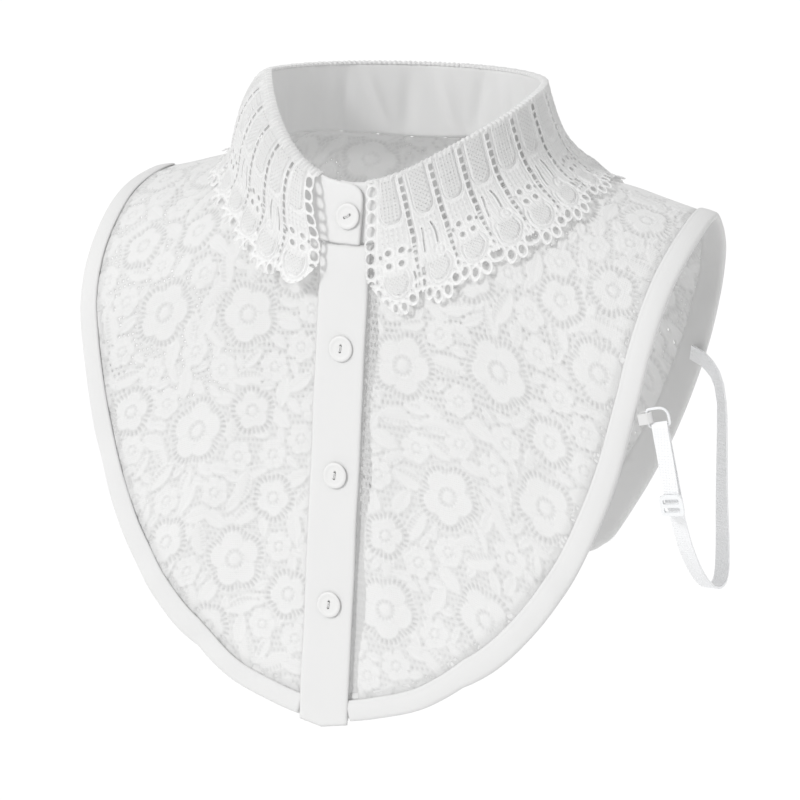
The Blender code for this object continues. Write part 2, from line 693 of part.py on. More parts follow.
def stand_point(share, up, normal=False):
    seam, fold, away, rise = stand_edges(share)
    corner = STAND_CORNER - share * stand_length()
    top = 1.0
    if corner > 0:
        cutback = STAND_CORNER - (STAND_CORNER ** 2 - corner ** 2) ** 0.5
        top = 1.0 - cutback / np.linalg.norm(fold - seam)
    point = seam + (fold - seam) * up * top
    if not normal:
        return point
    out = away - rise * float(away @ rise)
    return point, out / np.linalg.norm(out)


def stand():
    corner = np.linspace(0, STAND_CORNER_OVER, STAND_CORNER_COLUMNS, endpoint=False)
    shares = np.concatenate([corner, np.linspace(STAND_CORNER_OVER, 1, STAND_COLUMNS + 1)])
    columns = len(shares) - 1

    def point(u, v):
        return stand_point(shares[round(u * columns)], v)
    return sheet("stand", columns, STAND_ROWS, point, STAND_WALL, COTTON)


# ---------------------------------------------------------------- collar fall
@lru_cache(maxsize=None)
def fold_run(side):
    """Angles along the fold from the front edge to the nape, and the length up to each."""
    angles = np.linspace(FALL_START[side], pi, FOLD_SAMPLES)
    points = np.array([fold_line(side, a) for a in angles])
    return angles, np.concatenate([[0], np.cumsum(np.linalg.norm(np.diff(points, axis=0), axis=1))])


def fall_angle(side, share):
    angles, run = fold_run(side)
    return float(np.interp(share * run[-1], run, angles))


def share_at(repeats):
    """Share of the way from the front edge to the nape at which a number of repeats end."""
    rest = (REPEATS - FIRST_REPEAT) / (REPEATS - 1)
    if repeats < 1:
        return repeats * FIRST_REPEAT / REPEATS
    return (FIRST_REPEAT + (repeats - 1) * rest) / REPEATS


def fall_edge_width(side, along):
    """Width from the fold to the scalloped edge, after a number of repeats from the front."""
    wave = abs(sin(pi * (along + SCALLOP_LEAD * smooth(along)))) ** SCALLOP_POWER
    tip = TIP_LONG[side] * bell(along - TIP_LONG_AT, TIP_LONG_OVER)
    corner = FRONT_CORNER[side] * bell(along, FRONT_CORNER_OVER)
    return FALL_WIDTH[side] - SCALLOP * (1 - wave) + tip - corner


def fall_point(side, share, width):
    """A point of the fall, a width below the fold line."""
    sign = 1 if side == "left" else -1
    angle = fall_angle(side, share)
    from_front = angle - FALL_START[side]
    away = np.array([sign * sin(angle), -cos(angle), 0.0])
    top = fold_line(side, angle) + FALL_OFF_FOLD * away + np.array([0, 0, FALL_OVER_FOLD])
    low = angle + SKEW[side] * max(cos(angle), 0.0) + TIP_SKEW[side] * bell(from_front, TIP_SKEW_OVER)
    contact = (FALL_CONTACT + SIDE_CONTACT[side] * sin(low) ** 2
               + NAPE_CONTACT * max(-cos(low), 0.0) ** 2)
    place, out = neck_line(side, low), neck_normal(side, low)

    def on_cloth(distance):
        tip = TIP_LIFT[side] * bell(from_front, TIP_LIFT_OVER) * smooth(distance / TIP_LIFT_FROM)
        return cloth(*(place + out * distance), FALL_LIFT + tip)

    knee = on_cloth(contact)
    straight = np.linalg.norm(knee - top)

    def path(run):
        if run < straight:
            bulge = FALL_BULGE[side] * sin(pi * (max(run, 0) / straight) ** BULGE_EARLY[side])
            return top + (knee - top) * run / straight + bulge * away
        return on_cloth(contact + run - straight)

    t = (width - straight + FALL_BEND) / (2 * FALL_BEND)
    if 0 < t < 1:
        before, after = path(straight - FALL_BEND), path(straight + FALL_BEND)
        return (1 - t) ** 2 * before + 2 * t * (1 - t) * knee + t * t * after
    return path(width)


def fall_normal(side, share, width):
    share = min(max(share, SHARE_STEP), 1 - SHARE_STEP)
    run = fall_point(side, share + SHARE_STEP, width) - fall_point(side, share - SHARE_STEP, width)
    above = max(width - FALL_STEP, 0)
    drop = fall_point(side, share, width + FALL_STEP) - fall_point(side, share, above)
    normal = np.cross(drop, run) if side == "left" else np.cross(run, drop)
    return normal / np.linalg.norm(normal)


def fall_columns():
    """Numbers of repeats from the front edge after which the fall has a column."""
    first = np.arange(2 * COLUMNS_PER_REPEAT) / (2 * COLUMNS_PER_REPEAT)
    rest = 1 + np.arange((REPEATS - 1) * COLUMNS_PER_REPEAT + 1) / COLUMNS_PER_REPEAT
    return np.concatenate([first, rest])


def fall_wall(side, raised):
    """Corners of one wall of the fall, column by column; the motifs stand out between ladders."""
    half = FALL_WALL / 2
    wall = []
    for along in fall_columns():
        ladder = along == round(along)
        reach = share_at(along) * (1 - NAPE_GAP)
        width = fall_edge_width(side, along)
        column = []
        for row in range(FALL_ROWS + 1):
            down = width * row / FALL_ROWS
            lift = -half
            if raised:
                lift = half if ladder or row in (0, FALL_ROWS) else half + FALL_RELIEF
            column.append(fall_point(side, reach, down) + fall_normal(side, reach, down) * lift)
        wall.append(column)
    return wall


def fall(side):
    """Half of the turned-down collar: a plain inside, and motifs raised outside between ladders."""
    name = "fall_" + side
    form = bmesh.new()
    walls = [[[form.verts.new(corner) for corner in column] for column in fall_wall(side, raised)]
             for raised in (True, False)]
    last = len(walls[0]) - 1
    for wall in walls:
        for left, right in zip(wall, wall[1:]):
            for j in range(FALL_ROWS):
                form.faces.new((left[j], right[j], right[j + 1], left[j + 1]))
    rim = ([(i, 0) for i in range(last)] + [(last, j) for j in range(FALL_ROWS)]
           + [(i, FALL_ROWS) for i in range(last, 0, -1)] + [(0, j) for j in range(FALL_ROWS, 0, -1)])
    for (i, j), (m, n) in zip(rim, rim[1:] + rim[:1]):
        form.faces.new((walls[0][i][j], walls[0][m][n], walls[1][m][n], walls[1][i][j]))
    split_outwards(form)
    bmesh.ops.recalc_face_normals(form, faces=form.faces)
    mesh = bpy.data.meshes.new(name)
    form.to_mesh(mesh)
    form.free()
    piece = add(name, mesh, GUIPURE)
    along = LADDER_INSET[side] / fold_run(side)[1][-1]
    pegs = []
    for k in range(LADDER_HOLES[side]):
        down = LADDER_FIRST + LADDER_PITCH * k
        pegs.append(frame_at(fall_point(side, along, down), fall_normal(side, along, down), (0, 0, 1)))
    cut(piece, turned_cutter(name + "_ladder", pegs, LADDER_HOLE_RADIUS, 6 * FALL_WALL, LADDER_SIDES))


# ---------------------------------------------------------------- straps
def unit(vector):
    vector = np.array(vector, float)
    return vector / np.linalg.norm(vector)


def ribbon(name, centres, faces, width, wall, finish, across=2):
    """A flat band through centre points, each with the way its outer face looks."""
    centres, faces = np.array(centres), np.array(faces)
    run = np.gradient(centres, axis=0)
    count = len(centres) - 1

    def point(u, v):
        k = round(v * count)
        aside = unit(np.cross(run[k], faces[k]))
        return centres[k] + aside * width * (u - 0.5)
    return sheet(name, across, count, point, wall, finish)


def rounded_loop(wide, tall, radii):
    """Corners of a rounded rectangle about the origin, anticlockwise from the lower left."""
    points = []
    for k, (sx, sy) in enumerate([(-1, -1), (1, -1), (1, 1), (-1, 1)]):
        radius = radii[k]
        cx, cy = sx * (wide / 2 - radius), sy * (tall / 2 - radius)
        first = pi + k * pi / 2
        for t in np.linspace(0, 1, LOOP_STEPS + (2 if radius > WIDE_CORNER else 0)):
            angle = first + t * pi / 2
            points.append((cx + radius * cos(angle), cy + radius * sin(angle)))
    return points


def wire_ring(name, place, finish):
    curve = bpy.data.curves.new(name, "CURVE")
    curve.dimensions = "3D"
    curve.bevel_depth = RING_WIRE
    curve.bevel_resolution = 1
    points = rounded_loop(RING_WIDE - 2 * RING_WIRE, RING_TALL - 2 * RING_WIRE, RING_CORNERS)
    line = curve.splines.new("POLY")
    line.points.add(len(points) - 1)
    for spot, (x, y) in zip(line.points, points):
        spot.co = (x, y, 0.0, 1.0)
    line.use_cyclic_u = True
    piece = bpy.data.objects.new(name, curve)
    curve.materials.append(material(name, finish))
    piece.matrix_world = place
    PIECES.objects.link(piece)


def slider(name, place):
    """An adjuster: a rounded frame with one bar across, cut out of a flat outline."""
    curve = bpy.data.curves.new(name, "CURVE")
    curve.dimensions = "2D"
    curve.fill_mode = "BOTH"
    curve.extrude = SLIDER_THICK / 2
    slot_wide = SLIDER_WIDE - 2 * SLIDER_BAR
    slot_tall = (SLIDER_TALL - 3 * SLIDER_BAR) / 2
    shift = (slot_tall + SLIDER_BAR) / 2
    outlines = [(SLIDER_WIDE, SLIDER_TALL, SLIDER_CORNER, 0.0),
                (slot_wide, slot_tall, SLOT_CORNER, shift),
                (slot_wide, slot_tall, SLOT_CORNER, -shift)]
    for wide, tall, radius, up in outlines:
        points = rounded_loop(wide, tall, [radius] * 4)
        line = curve.splines.new("POLY")
        line.points.add(len(points) - 1)
        for spot, (x, y) in zip(line.points, points):
            spot.co = (x, y + up, 0.0, 1.0)
        line.use_cyclic_u = True
    piece = bpy.data.objects.new(name, curve)
    curve.materials.append(material(name, PLASTIC))
    piece.matrix_world = place
    PIECES.objects.link(piece)


def turn_round(start, over, end, steps=5):
    """Half a turn from start to end, bulging towards over."""
    middle = (start + end) / 2
    side = start - middle
    lift = unit(over) * np.linalg.norm(side)
    return [middle + side * cos(t) + lift * sin(t) for t in np.linspace(0, pi, steps)]


def strap(side):
    """Tab, ring, adjuster and elastic band of one side."""
    data = STRAP_ROUTES[side]
    rows = np.array(data["route"])
    centres, faces = rows[:, :3], rows[:, 3:]
    hang = unit(centres[1] - centres[0])
    runs = unit(np.array(data["tab_runs"]))
    e_across = unit(runs - hang * float(runs @ hang))
    e_face = unit(np.cross(e_across, -hang))
    if e_face @ faces[0] < 0:
        e_face = -e_face
    radius = RING_WIRE + GAP + STRAP_WALL / 2
    bar = np.array(centres[0])
    ring_middle = bar - hang * (RING_TALL / 2 - RING_WIRE)
    place = Matrix((Vector(e_across), Vector(-hang), Vector(np.cross(e_across, -hang)))).transposed()
    wire_ring("ring_" + side, Matrix.Translation(Vector(ring_middle)) @ place.to_4x4(), PLASTIC)

    # the upper band: down from the ring, doubled, to the adjuster
    upper = spline(centres[:UPPER_ROWS], UPPER_POINTS)
    look = np.array([unit(f) for f in spline(faces[:UPPER_ROWS], UPPER_POINTS)])
    look[0] = e_face
    outer_leg = [p + f * radius for p, f in zip(upper, look)]
    inner_leg = [p - f * radius for p, f in zip(upper, look)]
    bend = turn_round(inner_leg[0], -hang, outer_leg[0])
    path = inner_leg[::-1] + bend[1:-1] + outer_leg
    facing = [-f for f in look[::-1]]
    facing += [unit(np.array(p) - bar) for p in bend[1:-1]]
    facing += list(look)
    ribbon("strap_upper_" + side, path, facing, STRAP_WIDTH, STRAP_WALL, ELASTIC)

    # the adjuster lies on the band's outer face
    low, low_face = upper[-1], look[-1]
    down_run = unit(upper[-1] - upper[-2])
    off = radius + STRAP_WALL / 2 + 2 * GAP + SLIDER_THICK / 2
    middle = low + low_face * off + down_run * (SLIDER_TALL * SLIDER_LOW)
    face = unit(low_face - down_run * float(low_face @ down_run))
    aside = unit(np.cross(-down_run, face))
    place = Matrix((Vector(aside), Vector(-down_run), Vector(face))).transposed()
    slider("slider_" + side, Matrix.Translation(Vector(middle)) @ place.to_4x4())

    # the lower band: from the adjuster round the loop to the inside of the back's binding
    lower = spline(rows[UPPER_ROWS - 1:], LOWER_POINTS)
    lower_faces = [unit(f) for f in lower[:, 3:]]
    start = low + down_run * (STRAP_WALL + GAP)
    ease = np.exp(-np.arange(len(lower)) / START_EASE)[:, None]
    line = lower[:, :3] + (start - lower[0, :3]) * ease
    ribbon("strap_lower_" + side, line, lower_faces, STRAP_WIDTH, STRAP_WALL, ELASTIC)

    # the tab: from the binding out to the ring's inner bar, round it and back
    bar = ring_middle - e_across * (RING_WIDE / 2 - RING_WIRE) - hang * TAB_UP
    root = np.array(data["tab_root"])
    root = root - hang * float((root - bar) @ hang)
    tab_run = unit(bar - root)
    tab_face = unit(e_face - tab_run * float(e_face @ tab_run))
    tab_points = [root + (bar - root) * t for t in np.linspace(0, 1, TAB_POINTS)]
    outer_leg = [p + tab_face * radius for p in tab_points]
    inner_leg = [p - tab_face * radius for p in tab_points]
    bend = turn_round(outer_leg[-1], tab_run, inner_leg[-1])
    path = outer_leg + bend[1:-1] + inner_leg[::-1]
    facing = [tab_face] * TAB_POINTS + [unit(p - bar) for p in bend[1:-1]]
    facing += [-tab_face] * TAB_POINTS
    ribbon("strap_tab_" + side, path, facing, TAB_WIDTH, STRAP_WALL, COTTON, across=1)


# ---------------------------------------------------------------- the whole garment
clear_scene()
PIECES = collection("lace_collar")
CUTTERS = collection("cutters")

front_panel("right")
front_panel("left")
back_panel()
binding("right")
binding("left")
front_band("placket", PLACKET_RIGHT, PLACKET_LEFT, PLACKET_LIFT, PLACKET_WALL,
           SEAM_BELOW_STAND, PLACKET_BELOW)
front_band("underlap", UNDERLAP_RIGHT, UNDERLAP_LEFT, UNDERLAP_LIFT, CLOTH,
           SEAM_BELOW_STAND, 0.0)
stand()
fall("right")
fall("left")
buttons()
strap("right")
strap("left")
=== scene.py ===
"""How the detachable lace collar looks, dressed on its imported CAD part.

Metres, +Z up, -Y is the front, +X is the wearer's left.  Sizes of lace motifs are in
millimetres, as they are drawn on the flat cloth.
"""

from functools import lru_cache
from math import cos, pi, radians, sin

import bpy
import numpy as np
from mathutils import Matrix, Vector

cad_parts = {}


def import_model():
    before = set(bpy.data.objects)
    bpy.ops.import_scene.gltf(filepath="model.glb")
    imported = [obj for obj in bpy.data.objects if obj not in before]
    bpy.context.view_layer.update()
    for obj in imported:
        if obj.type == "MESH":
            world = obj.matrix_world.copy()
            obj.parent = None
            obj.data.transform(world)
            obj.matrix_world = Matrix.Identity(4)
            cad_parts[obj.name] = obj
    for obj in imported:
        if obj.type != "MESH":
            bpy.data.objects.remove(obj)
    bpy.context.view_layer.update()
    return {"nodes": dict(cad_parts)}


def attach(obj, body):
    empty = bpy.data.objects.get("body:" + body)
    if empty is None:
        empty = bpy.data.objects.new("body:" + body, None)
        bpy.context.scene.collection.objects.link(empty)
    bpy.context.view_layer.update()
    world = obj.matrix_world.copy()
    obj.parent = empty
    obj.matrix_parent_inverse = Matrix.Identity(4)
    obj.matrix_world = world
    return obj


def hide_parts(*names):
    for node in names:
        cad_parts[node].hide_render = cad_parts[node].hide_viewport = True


MM = 0.001

# ---- the figure it is worn on
SHOULDER_Y = 0.018        # the shoulder line, where front and back meet
NECK_POINT_X = 0.065
NECK_SLOPE = 0.02         # of the shoulder line from there in to the neck
SHOULDER_FALL, SHOULDER_EASE = 0.350, 0.80
CHEST_DEPTH, CHEST_SLOPE, CHEST_ROUND = -0.0557, -0.107, 0.50
CHEST_DROP, CHEST_DROP_OUT = 0.0438, 0.134
BACK_DEPTH, BACK_ROUND = 0.082, -2.75
BACK_DROP, BACK_DROP_OUT = 0.095, -0.42
BACK_POWER, BACK_POWER_OUT = 0.36, 4.55
BLADE_POWER, BLADE_FROM, BLADE_OVER = 0.55, 0.055, 0.040
TURN_STEPS, DROP_STEPS, REACH_DOWN = 400, 260, 0.26
HOLLOW_DEEP, HOLLOW_AT = 0.0034, 0.078          # the left shoulder dips beside the neck
HOLLOW_ALONG, HOLLOW_ACROSS = 0.016, 0.024
CHART_STEP = 0.0005       # spacing of the points read from the figure's surface
CHART_X = 0.1480
CHART_FRONT, CHART_BACK = 0.3040, -0.2520

# ---- neck and fold lines
SIGN = {"left": 1, "right": -1}
NECK_HALF = {"left": 0.0645, "right": 0.0680}
NECK_FRONT, NECK_BACK, NECK_MIDDLE = -0.0575, 0.0589, 0.0047
FOLD_HALF = {"left": 0.0604, "right": 0.0692}
FOLD_FRONT, FOLD_BACK, FOLD_MIDDLE = -0.0533, 0.0519, 0.0006
FOLD_TOP, FOLD_DIP, FOLD_DIP_POWER = 0.0306, 0.0375, 2.36
FOLD_SQUARE = {"left": 1.14, "right": 1.8}
FOLD_SAG = {"left": 0.0058, "right": 0.0}      # it hangs lower beside the throat,
FOLD_SAG_AT, FOLD_SAG_OVER = radians(66), radians(27)   # at this angle and about it

# ---- finished outer edges
FRONT_EDGE = [  # across, down the cloth from the shoulder line
    (0.1394, 0.0000), (0.1416, 0.0280), (0.1405, 0.0571), (0.1379, 0.0906),
    (0.1328, 0.1228), (0.1238, 0.1617), (0.1072, 0.2059), (0.0812, 0.2485),
    (0.0527, 0.2756), (0.0259, 0.2880), (0.0000, 0.2953),
]
BACK_EDGE = [
    (0.1394, 0.0000), (0.1402, -0.0100), (0.1393, -0.0214), (0.1337, -0.0486),
    (0.1247, -0.0811), (0.1077, -0.1281), (0.0853, -0.1788), (0.0657, -0.2185),
    (0.0480, -0.2335), (0.0240, -0.2415), (0.0000, -0.2440),
]
EDGE_TURN = 0.0013        # the binding folds this far outside the raw lace edge
PANEL_MEET = 0.0035       # the fronts stop this far from the middle, under the placket
PLACKET_RIGHT, PLACKET_LEFT = -0.0112, 0.0122
PLACKET_LIFT, PLACKET_WALL = 0.0014, 0.0012
BANDS = {  # right and left edge, lift of its middle, wall, length past the hem, ripple
    "placket": (PLACKET_RIGHT, PLACKET_LEFT, PLACKET_LIFT, PLACKET_WALL, 0.0015, 0.00016),
    "underlap": (-0.0102, 0.0112, -0.0013, 0.0010, 0.0, 0.0001),
}
BAND_COLUMNS, BAND_ROWS = 33, 170
BAND_SEAM = 0.0006        # clear of the stand above it
BAND_TURN, BAND_TURN_OVER = 0.0003, 0.0009      # its long edges turn in by this much
BUTTONS_DOWN = [0.1312, 0.1860, 0.2424]
BUTTON_ACROSS = 0.0014
BUTTON_GAP = 0.0003
BUTTON_TURN, STAND_BUTTON_TURN = (0.1, 0.0, 1.0), (1.0, 0.0, 0.6)
STAND_BUTTON_ACROSS, STAND_BUTTON_UP = 0.0004, 0.46

# ---- collar stand and fall
STAND_WALL = 0.0016
STAND_OVER_END, STAND_UNDER_END = 0.0066, 0.0060
STAND_STEP, STAND_STEP_OVER = 0.0011, 0.10
STAND_CORNER = 0.0075
STAND_SEAM = 0.0004       # clear of the lace along its seam
STAND_HIGH = 0.030
FALL_WIDTH = {"left": 0.0580, "right": 0.0548}   # below the fold, which rolls over unevenly
REPEATS = 13              # scallops on each half,
FIRST_REPEAT = 1.12       # the first one wider, in repeats
FALL_START = {"left": radians(6.5), "right": radians(12.4)}
FALL_LIFT, FALL_OFF_FOLD, FALL_OVER_FOLD = 0.0030, 0.0020, 0.0005
EDGE_LOWER, EDGE_LOWER_FROM = 0.0005, 0.040     # towards its edge it lies closer by this much
FALL_BULGE = {"left": -0.0010, "right": 0.0052}  # outwards on the way to the shoulders,
BULGE_EARLY = {"left": 1.0, "right": 0.60}      # under 1 more of it close below the fold
ROLL_OUT, ROLL_UP = 0.00155, 0.0004             # the edge rolls over the stand's top
FALL_BEND, FALL_CONTACT = 0.0110, 0.0060
SIDE_CONTACT, NAPE_CONTACT = {"left": 0.000, "right": 0.010}, 0.002
SCALLOP, SCALLOP_POWER, SCALLOP_LEAD = 0.0036, 0.7, 0.25
TIP_LONG = {"left": 0.0, "right": -0.0020}
TIP_LONG_AT, TIP_LONG_OVER = 0.60, 0.55
FRONT_CORNER, FRONT_CORNER_OVER = {"left": 0.0140, "right": 0.0105}, 0.30
SKEW = {"left": radians(5), "right": radians(-3.5)}
TIP_SKEW, TIP_SKEW_OVER = {"left": radians(-4), "right": radians(-3.3)}, 0.2
TIP_LIFT, TIP_LIFT_OVER, TIP_LIFT_FROM = {"left": 0.0004, "right": 0.0100}, 0.6, 0.030

# ---- samples of the lace meshes and relief of their thread, mm
FRONT_SPACING, BACK_SPACING = 0.56, 0.75
PANEL_RELIEF = 1.0        # no thread of a panel rises further than this
NET_LOW = 0.55            # the net lies lower than the motifs
NET_CLOSED = 150.0        # thread fills its holes from here down
STRIP_CLOSED = 198.0      # and those of the strip beside the placket from here
FALL_COLUMNS, FALL_ROWS = 680, 152
FALL_SPARE = 0.003        # metres of cloth worked out past the fall's widest scallop
ROLL_READ, ROLL_SHOWN = 0.0062, 0.0060          # and round the fold, read and shown
EVENED = 8                # read columns on each side over which the pitch is evened out
PAINTED_SHADE_BELOW, PAINTED_SHADE_OVER = 0.16, 0.80              # painted shade: a panel's thread below this height is painted darker, as shade in its hollows
CORD_PAINTED_SHADE_BELOW, CORD_PAINTED_SHADE_OVER = 0.62, 0.45    # and the guipure's
GUIPURE_SUNK = 0.2        # the guipure's thread lies this much lower than it is drawn
FLAT_INSIDE, FLAT_OVER = 7.2, 1.8               # a panel is flat under its binding

# flowers of the fronts that show in the photograph: across, down, radius in mm
FRONT_FLOWERS = {
    "right": [(-90, 110, 12.5), (-46, 118, 12.5), (-70, 168, 12.5), (-48, 226, 12.5),
              (-42, 160, 8.5), (-108, 74, 9.0), (-78, 76, 8.5), (-84, 214, 9.0),
              (-20, 240, 9.0), (-30, 198, 8.5), (-106, 150, 9.0), (-60, 256, 8.0),
              (-24, 100, 8.5), (-118, 28, 9.0), (-88, 36, 9.0)],
    "left": [(30, 134, 12.5), (74, 126, 12.5), (118, 106, 12.0), (54, 186, 12.0),
             (98, 172, 12.0), (28, 240, 12.5), (74, 232, 12.0), (38, 168, 7.0),
             (98, 144, 8.0), (118, 70, 9.0), (98, 84, 8.5), (26, 208, 8.0),
             (84, 200, 7.5), (60, 92, 8.0), (118, 28, 9.0), (88, 36, 9.0)],
}


# ---- curves and grids
def smooth(share):
    share = np.clip(share, 0.0, 1.0)
    return share * share * (3.0 - 2.0 * share)


def bell(value, over):
    return np.exp(-(np.asarray(value) / over) ** 2)


def unit(vectors):
    vectors = np.asarray(vectors, float)
    return vectors / np.maximum(np.linalg.norm(vectors, axis=-1, keepdims=True), 1e-12)


def run_along(points):
    """Length along a line from its first point to each point."""
    return np.concatenate([[0], np.cumsum(np.linalg.norm(np.diff(points, axis=0), axis=1))])


def at_lengths(points, run, want):
    """Points at the wanted lengths along a line."""
    return np.stack([np.interp(want, run, column) for column in np.transpose(points)], 1)


def grid_of(first, second):
    """Pairs of a first and a second value, in rows and columns."""
    return np.stack(np.meshgrid(first, second, indexing="ij"), -1)


def spline_at(rows, at):
    """Points on a smooth curve through the rows, at places counted in rows."""
    rows = np.asarray(rows, float)
    ends = np.concatenate([2 * rows[:1] - rows[1:2], rows, 2 * rows[-1:] - rows[-2:-1]])
    first = np.clip(np.floor(at).astype(int), 0, len(rows) - 2)
    t = (np.asarray(at) - first).reshape((-1,) + (1,) * (rows.ndim - 1))
    a, b, c, d = (ends[first + k] for k in range(4))
    return 0.5 * (2 * b + (c - a) * t + (2 * a - 5 * b + 4 * c - d) * t * t
                  + (3 * b - a - 3 * c + d) * t ** 3)


def spline(rows, count):
    """Evenly spaced points on a smooth curve through the rows."""
    fine = spline_at(rows, np.linspace(0, len(rows) - 1, 16 * len(rows)))
    run = run_along(fine)
    return at_lengths(fine, run, np.linspace(0, run[-1], count))


def finer(grid, rows, columns):
    """A grid of values read smoothly at places counted in its rows and columns."""
    return spline_at(spline_at(grid, rows).swapaxes(0, 1), columns).swapaxes(0, 1)


def grid_normals(points):
    """Unit normals of a grid of points, rows crossed with columns."""
    return unit(np.cross(np.gradient(points, axis=1), np.gradient(points, axis=0)))


# ---- the figure's surface
# soft troughs and ridges: across, down, half length, half width, turn in degrees, height; mm
CREASES = [
    (-104, 60, 34, 7, 62, 1.0), (-92, 84, 38, 9, 70, -0.8), (-116, 120, 46, 8, 84, 0.9),
    (-64, 190, 44, 10, 106, 0.9), (-38, 214, 40, 8, 98, -0.8), (-84, 222, 36, 9, 130, 0.8),
    (-30, 130, 50, 9, 92, -0.7), (-122, 168, 30, 7, 104, -0.7),
    (26, 232, 40, 7, 86, 0.9), (44, 214, 46, 10, 78, -1.0), (70, 196, 44, 9, 66, 0.9),
    (96, 150, 44, 9, 80, -0.8), (112, 108, 42, 8, 92, 0.9), (58, 118, 46, 11, 84, 0.7),
    (90, 60, 32, 8, 112, -0.9), (116, 44, 30, 7, 100, 0.8), (36, 150, 48, 8, 94, -0.7),
    (100, 204, 28, 7, 44, 0.8), (60, 254, 30, 7, 20, 0.7), (-62, 262, 28, 7, 158, -0.7),
    (-100, -60, 38, 9, 100, 1.0), (-70, -110, 50, 11, 86, -1.1), (-34, -150, 50, 10, 94, 1.2),
    (-12, -100, 44, 9, 82, -1.0), (18, -176, 46, 10, 98, 1.1), (44, -120, 50, 10, 88, -1.1),
    (78, -90, 46, 10, 80, 1.1), (102, -70, 36, 8, 76, -0.9), (60, -196, 36, 8, 118, 0.9),
    (-58, -196, 36, 8, 64, -0.9),
]


def crease(x, down):
    """How far the cloth stands off the figure in its soft folds, in metres."""
    x, down = x / MM, down / MM
    total = np.zeros(np.broadcast(x, down).shape)
    for across, at, long, wide, turn, height in CREASES:
        turn = radians(turn)
        u = (x - across) * cos(turn) + (down - at) * sin(turn)
        v = (down - at) * cos(turn) - (x - across) * sin(turn)
        total += height * np.exp(-(u / long) ** 2 - (v / wide) ** 2)
    return total * MM


def shoulder_z(x):
    out = abs(x) - NECK_POINT_X
    return -NECK_SLOPE * out if out < 0 else -(SHOULDER_FALL * out - SHOULDER_EASE * out * out)


@lru_cache(maxsize=None)
def fore_and_aft(x, front):
    """Length down the cloth, y and z along one line from the shoulder to the hem."""
    if front:
        drop, power = CHEST_DROP + CHEST_DROP_OUT * x, 1.0
    else:
        drop = BACK_DROP + BACK_DROP_OUT * x
        blade = BLADE_POWER * float(smooth((x - BLADE_FROM) / BLADE_OVER))
        power = BACK_POWER + BACK_POWER_OUT * x + blade
    turn = np.linspace(0, 1, TURN_STEPS) ** (1 / power) * pi / 2
    below = np.linspace(REACH_DOWN / DROP_STEPS, REACH_DOWN, DROP_STEPS)
    z = shoulder_z(x) - np.concatenate([drop * (1 - np.cos(turn)), drop + below])
    reach = np.concatenate([np.sin(turn) ** power, np.ones(DROP_STEPS)])
    if front:
        far = CHEST_DEPTH - CHEST_SLOPE * z + CHEST_ROUND * x * x
    else:
        far = BACK_DEPTH + BACK_ROUND * x * x
    y = SHOULDER_Y + (far - SHOULDER_Y) * reach
    down = np.concatenate([[0], np.cumsum(np.hypot(np.diff(y), np.diff(z)))])
    return down, y, z


def make_chart():
    """Points and outward normals of the creased figure on an even grid of across and down."""
    across = np.arange(-CHART_X, CHART_X + CHART_STEP, CHART_STEP)
    down = np.arange(CHART_BACK, CHART_FRONT, CHART_STEP)
    points = np.zeros((len(across), len(down), 3))
    for i, x in enumerate(across):
        for front in (True, False):
            rows = (down >= 0) == front
            length, y, z = fore_and_aft(round(abs(x), 5), front)
            points[i, rows, 0] = x
            points[i, rows, 1] = np.interp(abs(down[rows]), length, y)
            points[i, rows, 2] = np.interp(abs(down[rows]), length, z)
    hollow = bell(across - HOLLOW_AT, HOLLOW_ALONG)[:, None] * bell(down, HOLLOW_ACROSS)[None, :]
    points[..., 2] -= HOLLOW_DEEP * hollow
    normals = grid_normals(points)
    points += normals * crease(across[:, None], down[None, :])[..., None]
    return points, grid_normals(points)


CHART = make_chart()


def on_chart(grid, x, down):
    """Reads a chart between its points."""
    i = np.clip((np.asarray(x) + CHART_X) / CHART_STEP, 0, grid.shape[0] - 1.001)
    j = np.clip((np.asarray(down) - CHART_BACK) / CHART_STEP, 0, grid.shape[1] - 1.001)
    a, b = np.floor(i).astype(int), np.floor(j).astype(int)
    u, v = (i - a)[..., None], (j - b)[..., None]
    return ((grid[a, b] * (1 - u) + grid[a + 1, b] * u) * (1 - v)
            + (grid[a, b + 1] * (1 - u) + grid[a + 1, b + 1] * u) * v)


def outward(x, down):
    return unit(on_chart(CHART[1], x, down))


def cloth(x, down, lift=0.0):
    lift = np.asarray(lift, float)[..., None]
    return on_chart(CHART[0], x, down) + outward(x, down) * lift


def down_at_y(x, y):
    front = y < SHOULDER_Y
    length, ys, _ = fore_and_aft(round(abs(x), 5), front)
    if front:
        return np.interp(-y, -ys[:TURN_STEPS], length[:TURN_STEPS])
    return -np.interp(y, ys[:TURN_STEPS], length[:TURN_STEPS])


def neck_line(side, angle):
    """Across and down of the neck seam; the angle is 0 at the throat and pi at the nape."""
    x = SIGN[side] * NECK_HALF[side] * sin(angle)
    reach = (NECK_FRONT - NECK_MIDDLE) if cos(angle) > 0 else (NECK_MIDDLE - NECK_BACK)
    return np.array([x, down_at_y(x, NECK_MIDDLE + reach * cos(angle))])


def neck_normal(side, angle):
    """Away from the neck, in across and down."""
    step = 0.01
    run = neck_line(side, angle + step) - neck_line(side, angle - step)
    return SIGN[side] * np.array([-run[1], run[0]]) / np.linalg.norm(run)


def shoulder_angle():
    return pi - np.arccos((SHOULDER_Y - NECK_MIDDLE) / (NECK_BACK - NECK_MIDDLE))


def fold_line(side, angle):
    c = cos(angle)
    if c > 0:
        y = FOLD_MIDDLE + (FOLD_FRONT - FOLD_MIDDLE) * c ** FOLD_SQUARE[side]
    else:
        y = FOLD_MIDDLE - (FOLD_BACK - FOLD_MIDDLE) * c
    z = FOLD_TOP - FOLD_DIP * max(c, 0.0) ** FOLD_DIP_POWER
    z -= FOLD_SAG[side] * float(bell(angle - FOLD_SAG_AT, FOLD_SAG_OVER))
    return np.array([SIGN[side] * FOLD_HALF[side] * sin(angle), y, z])


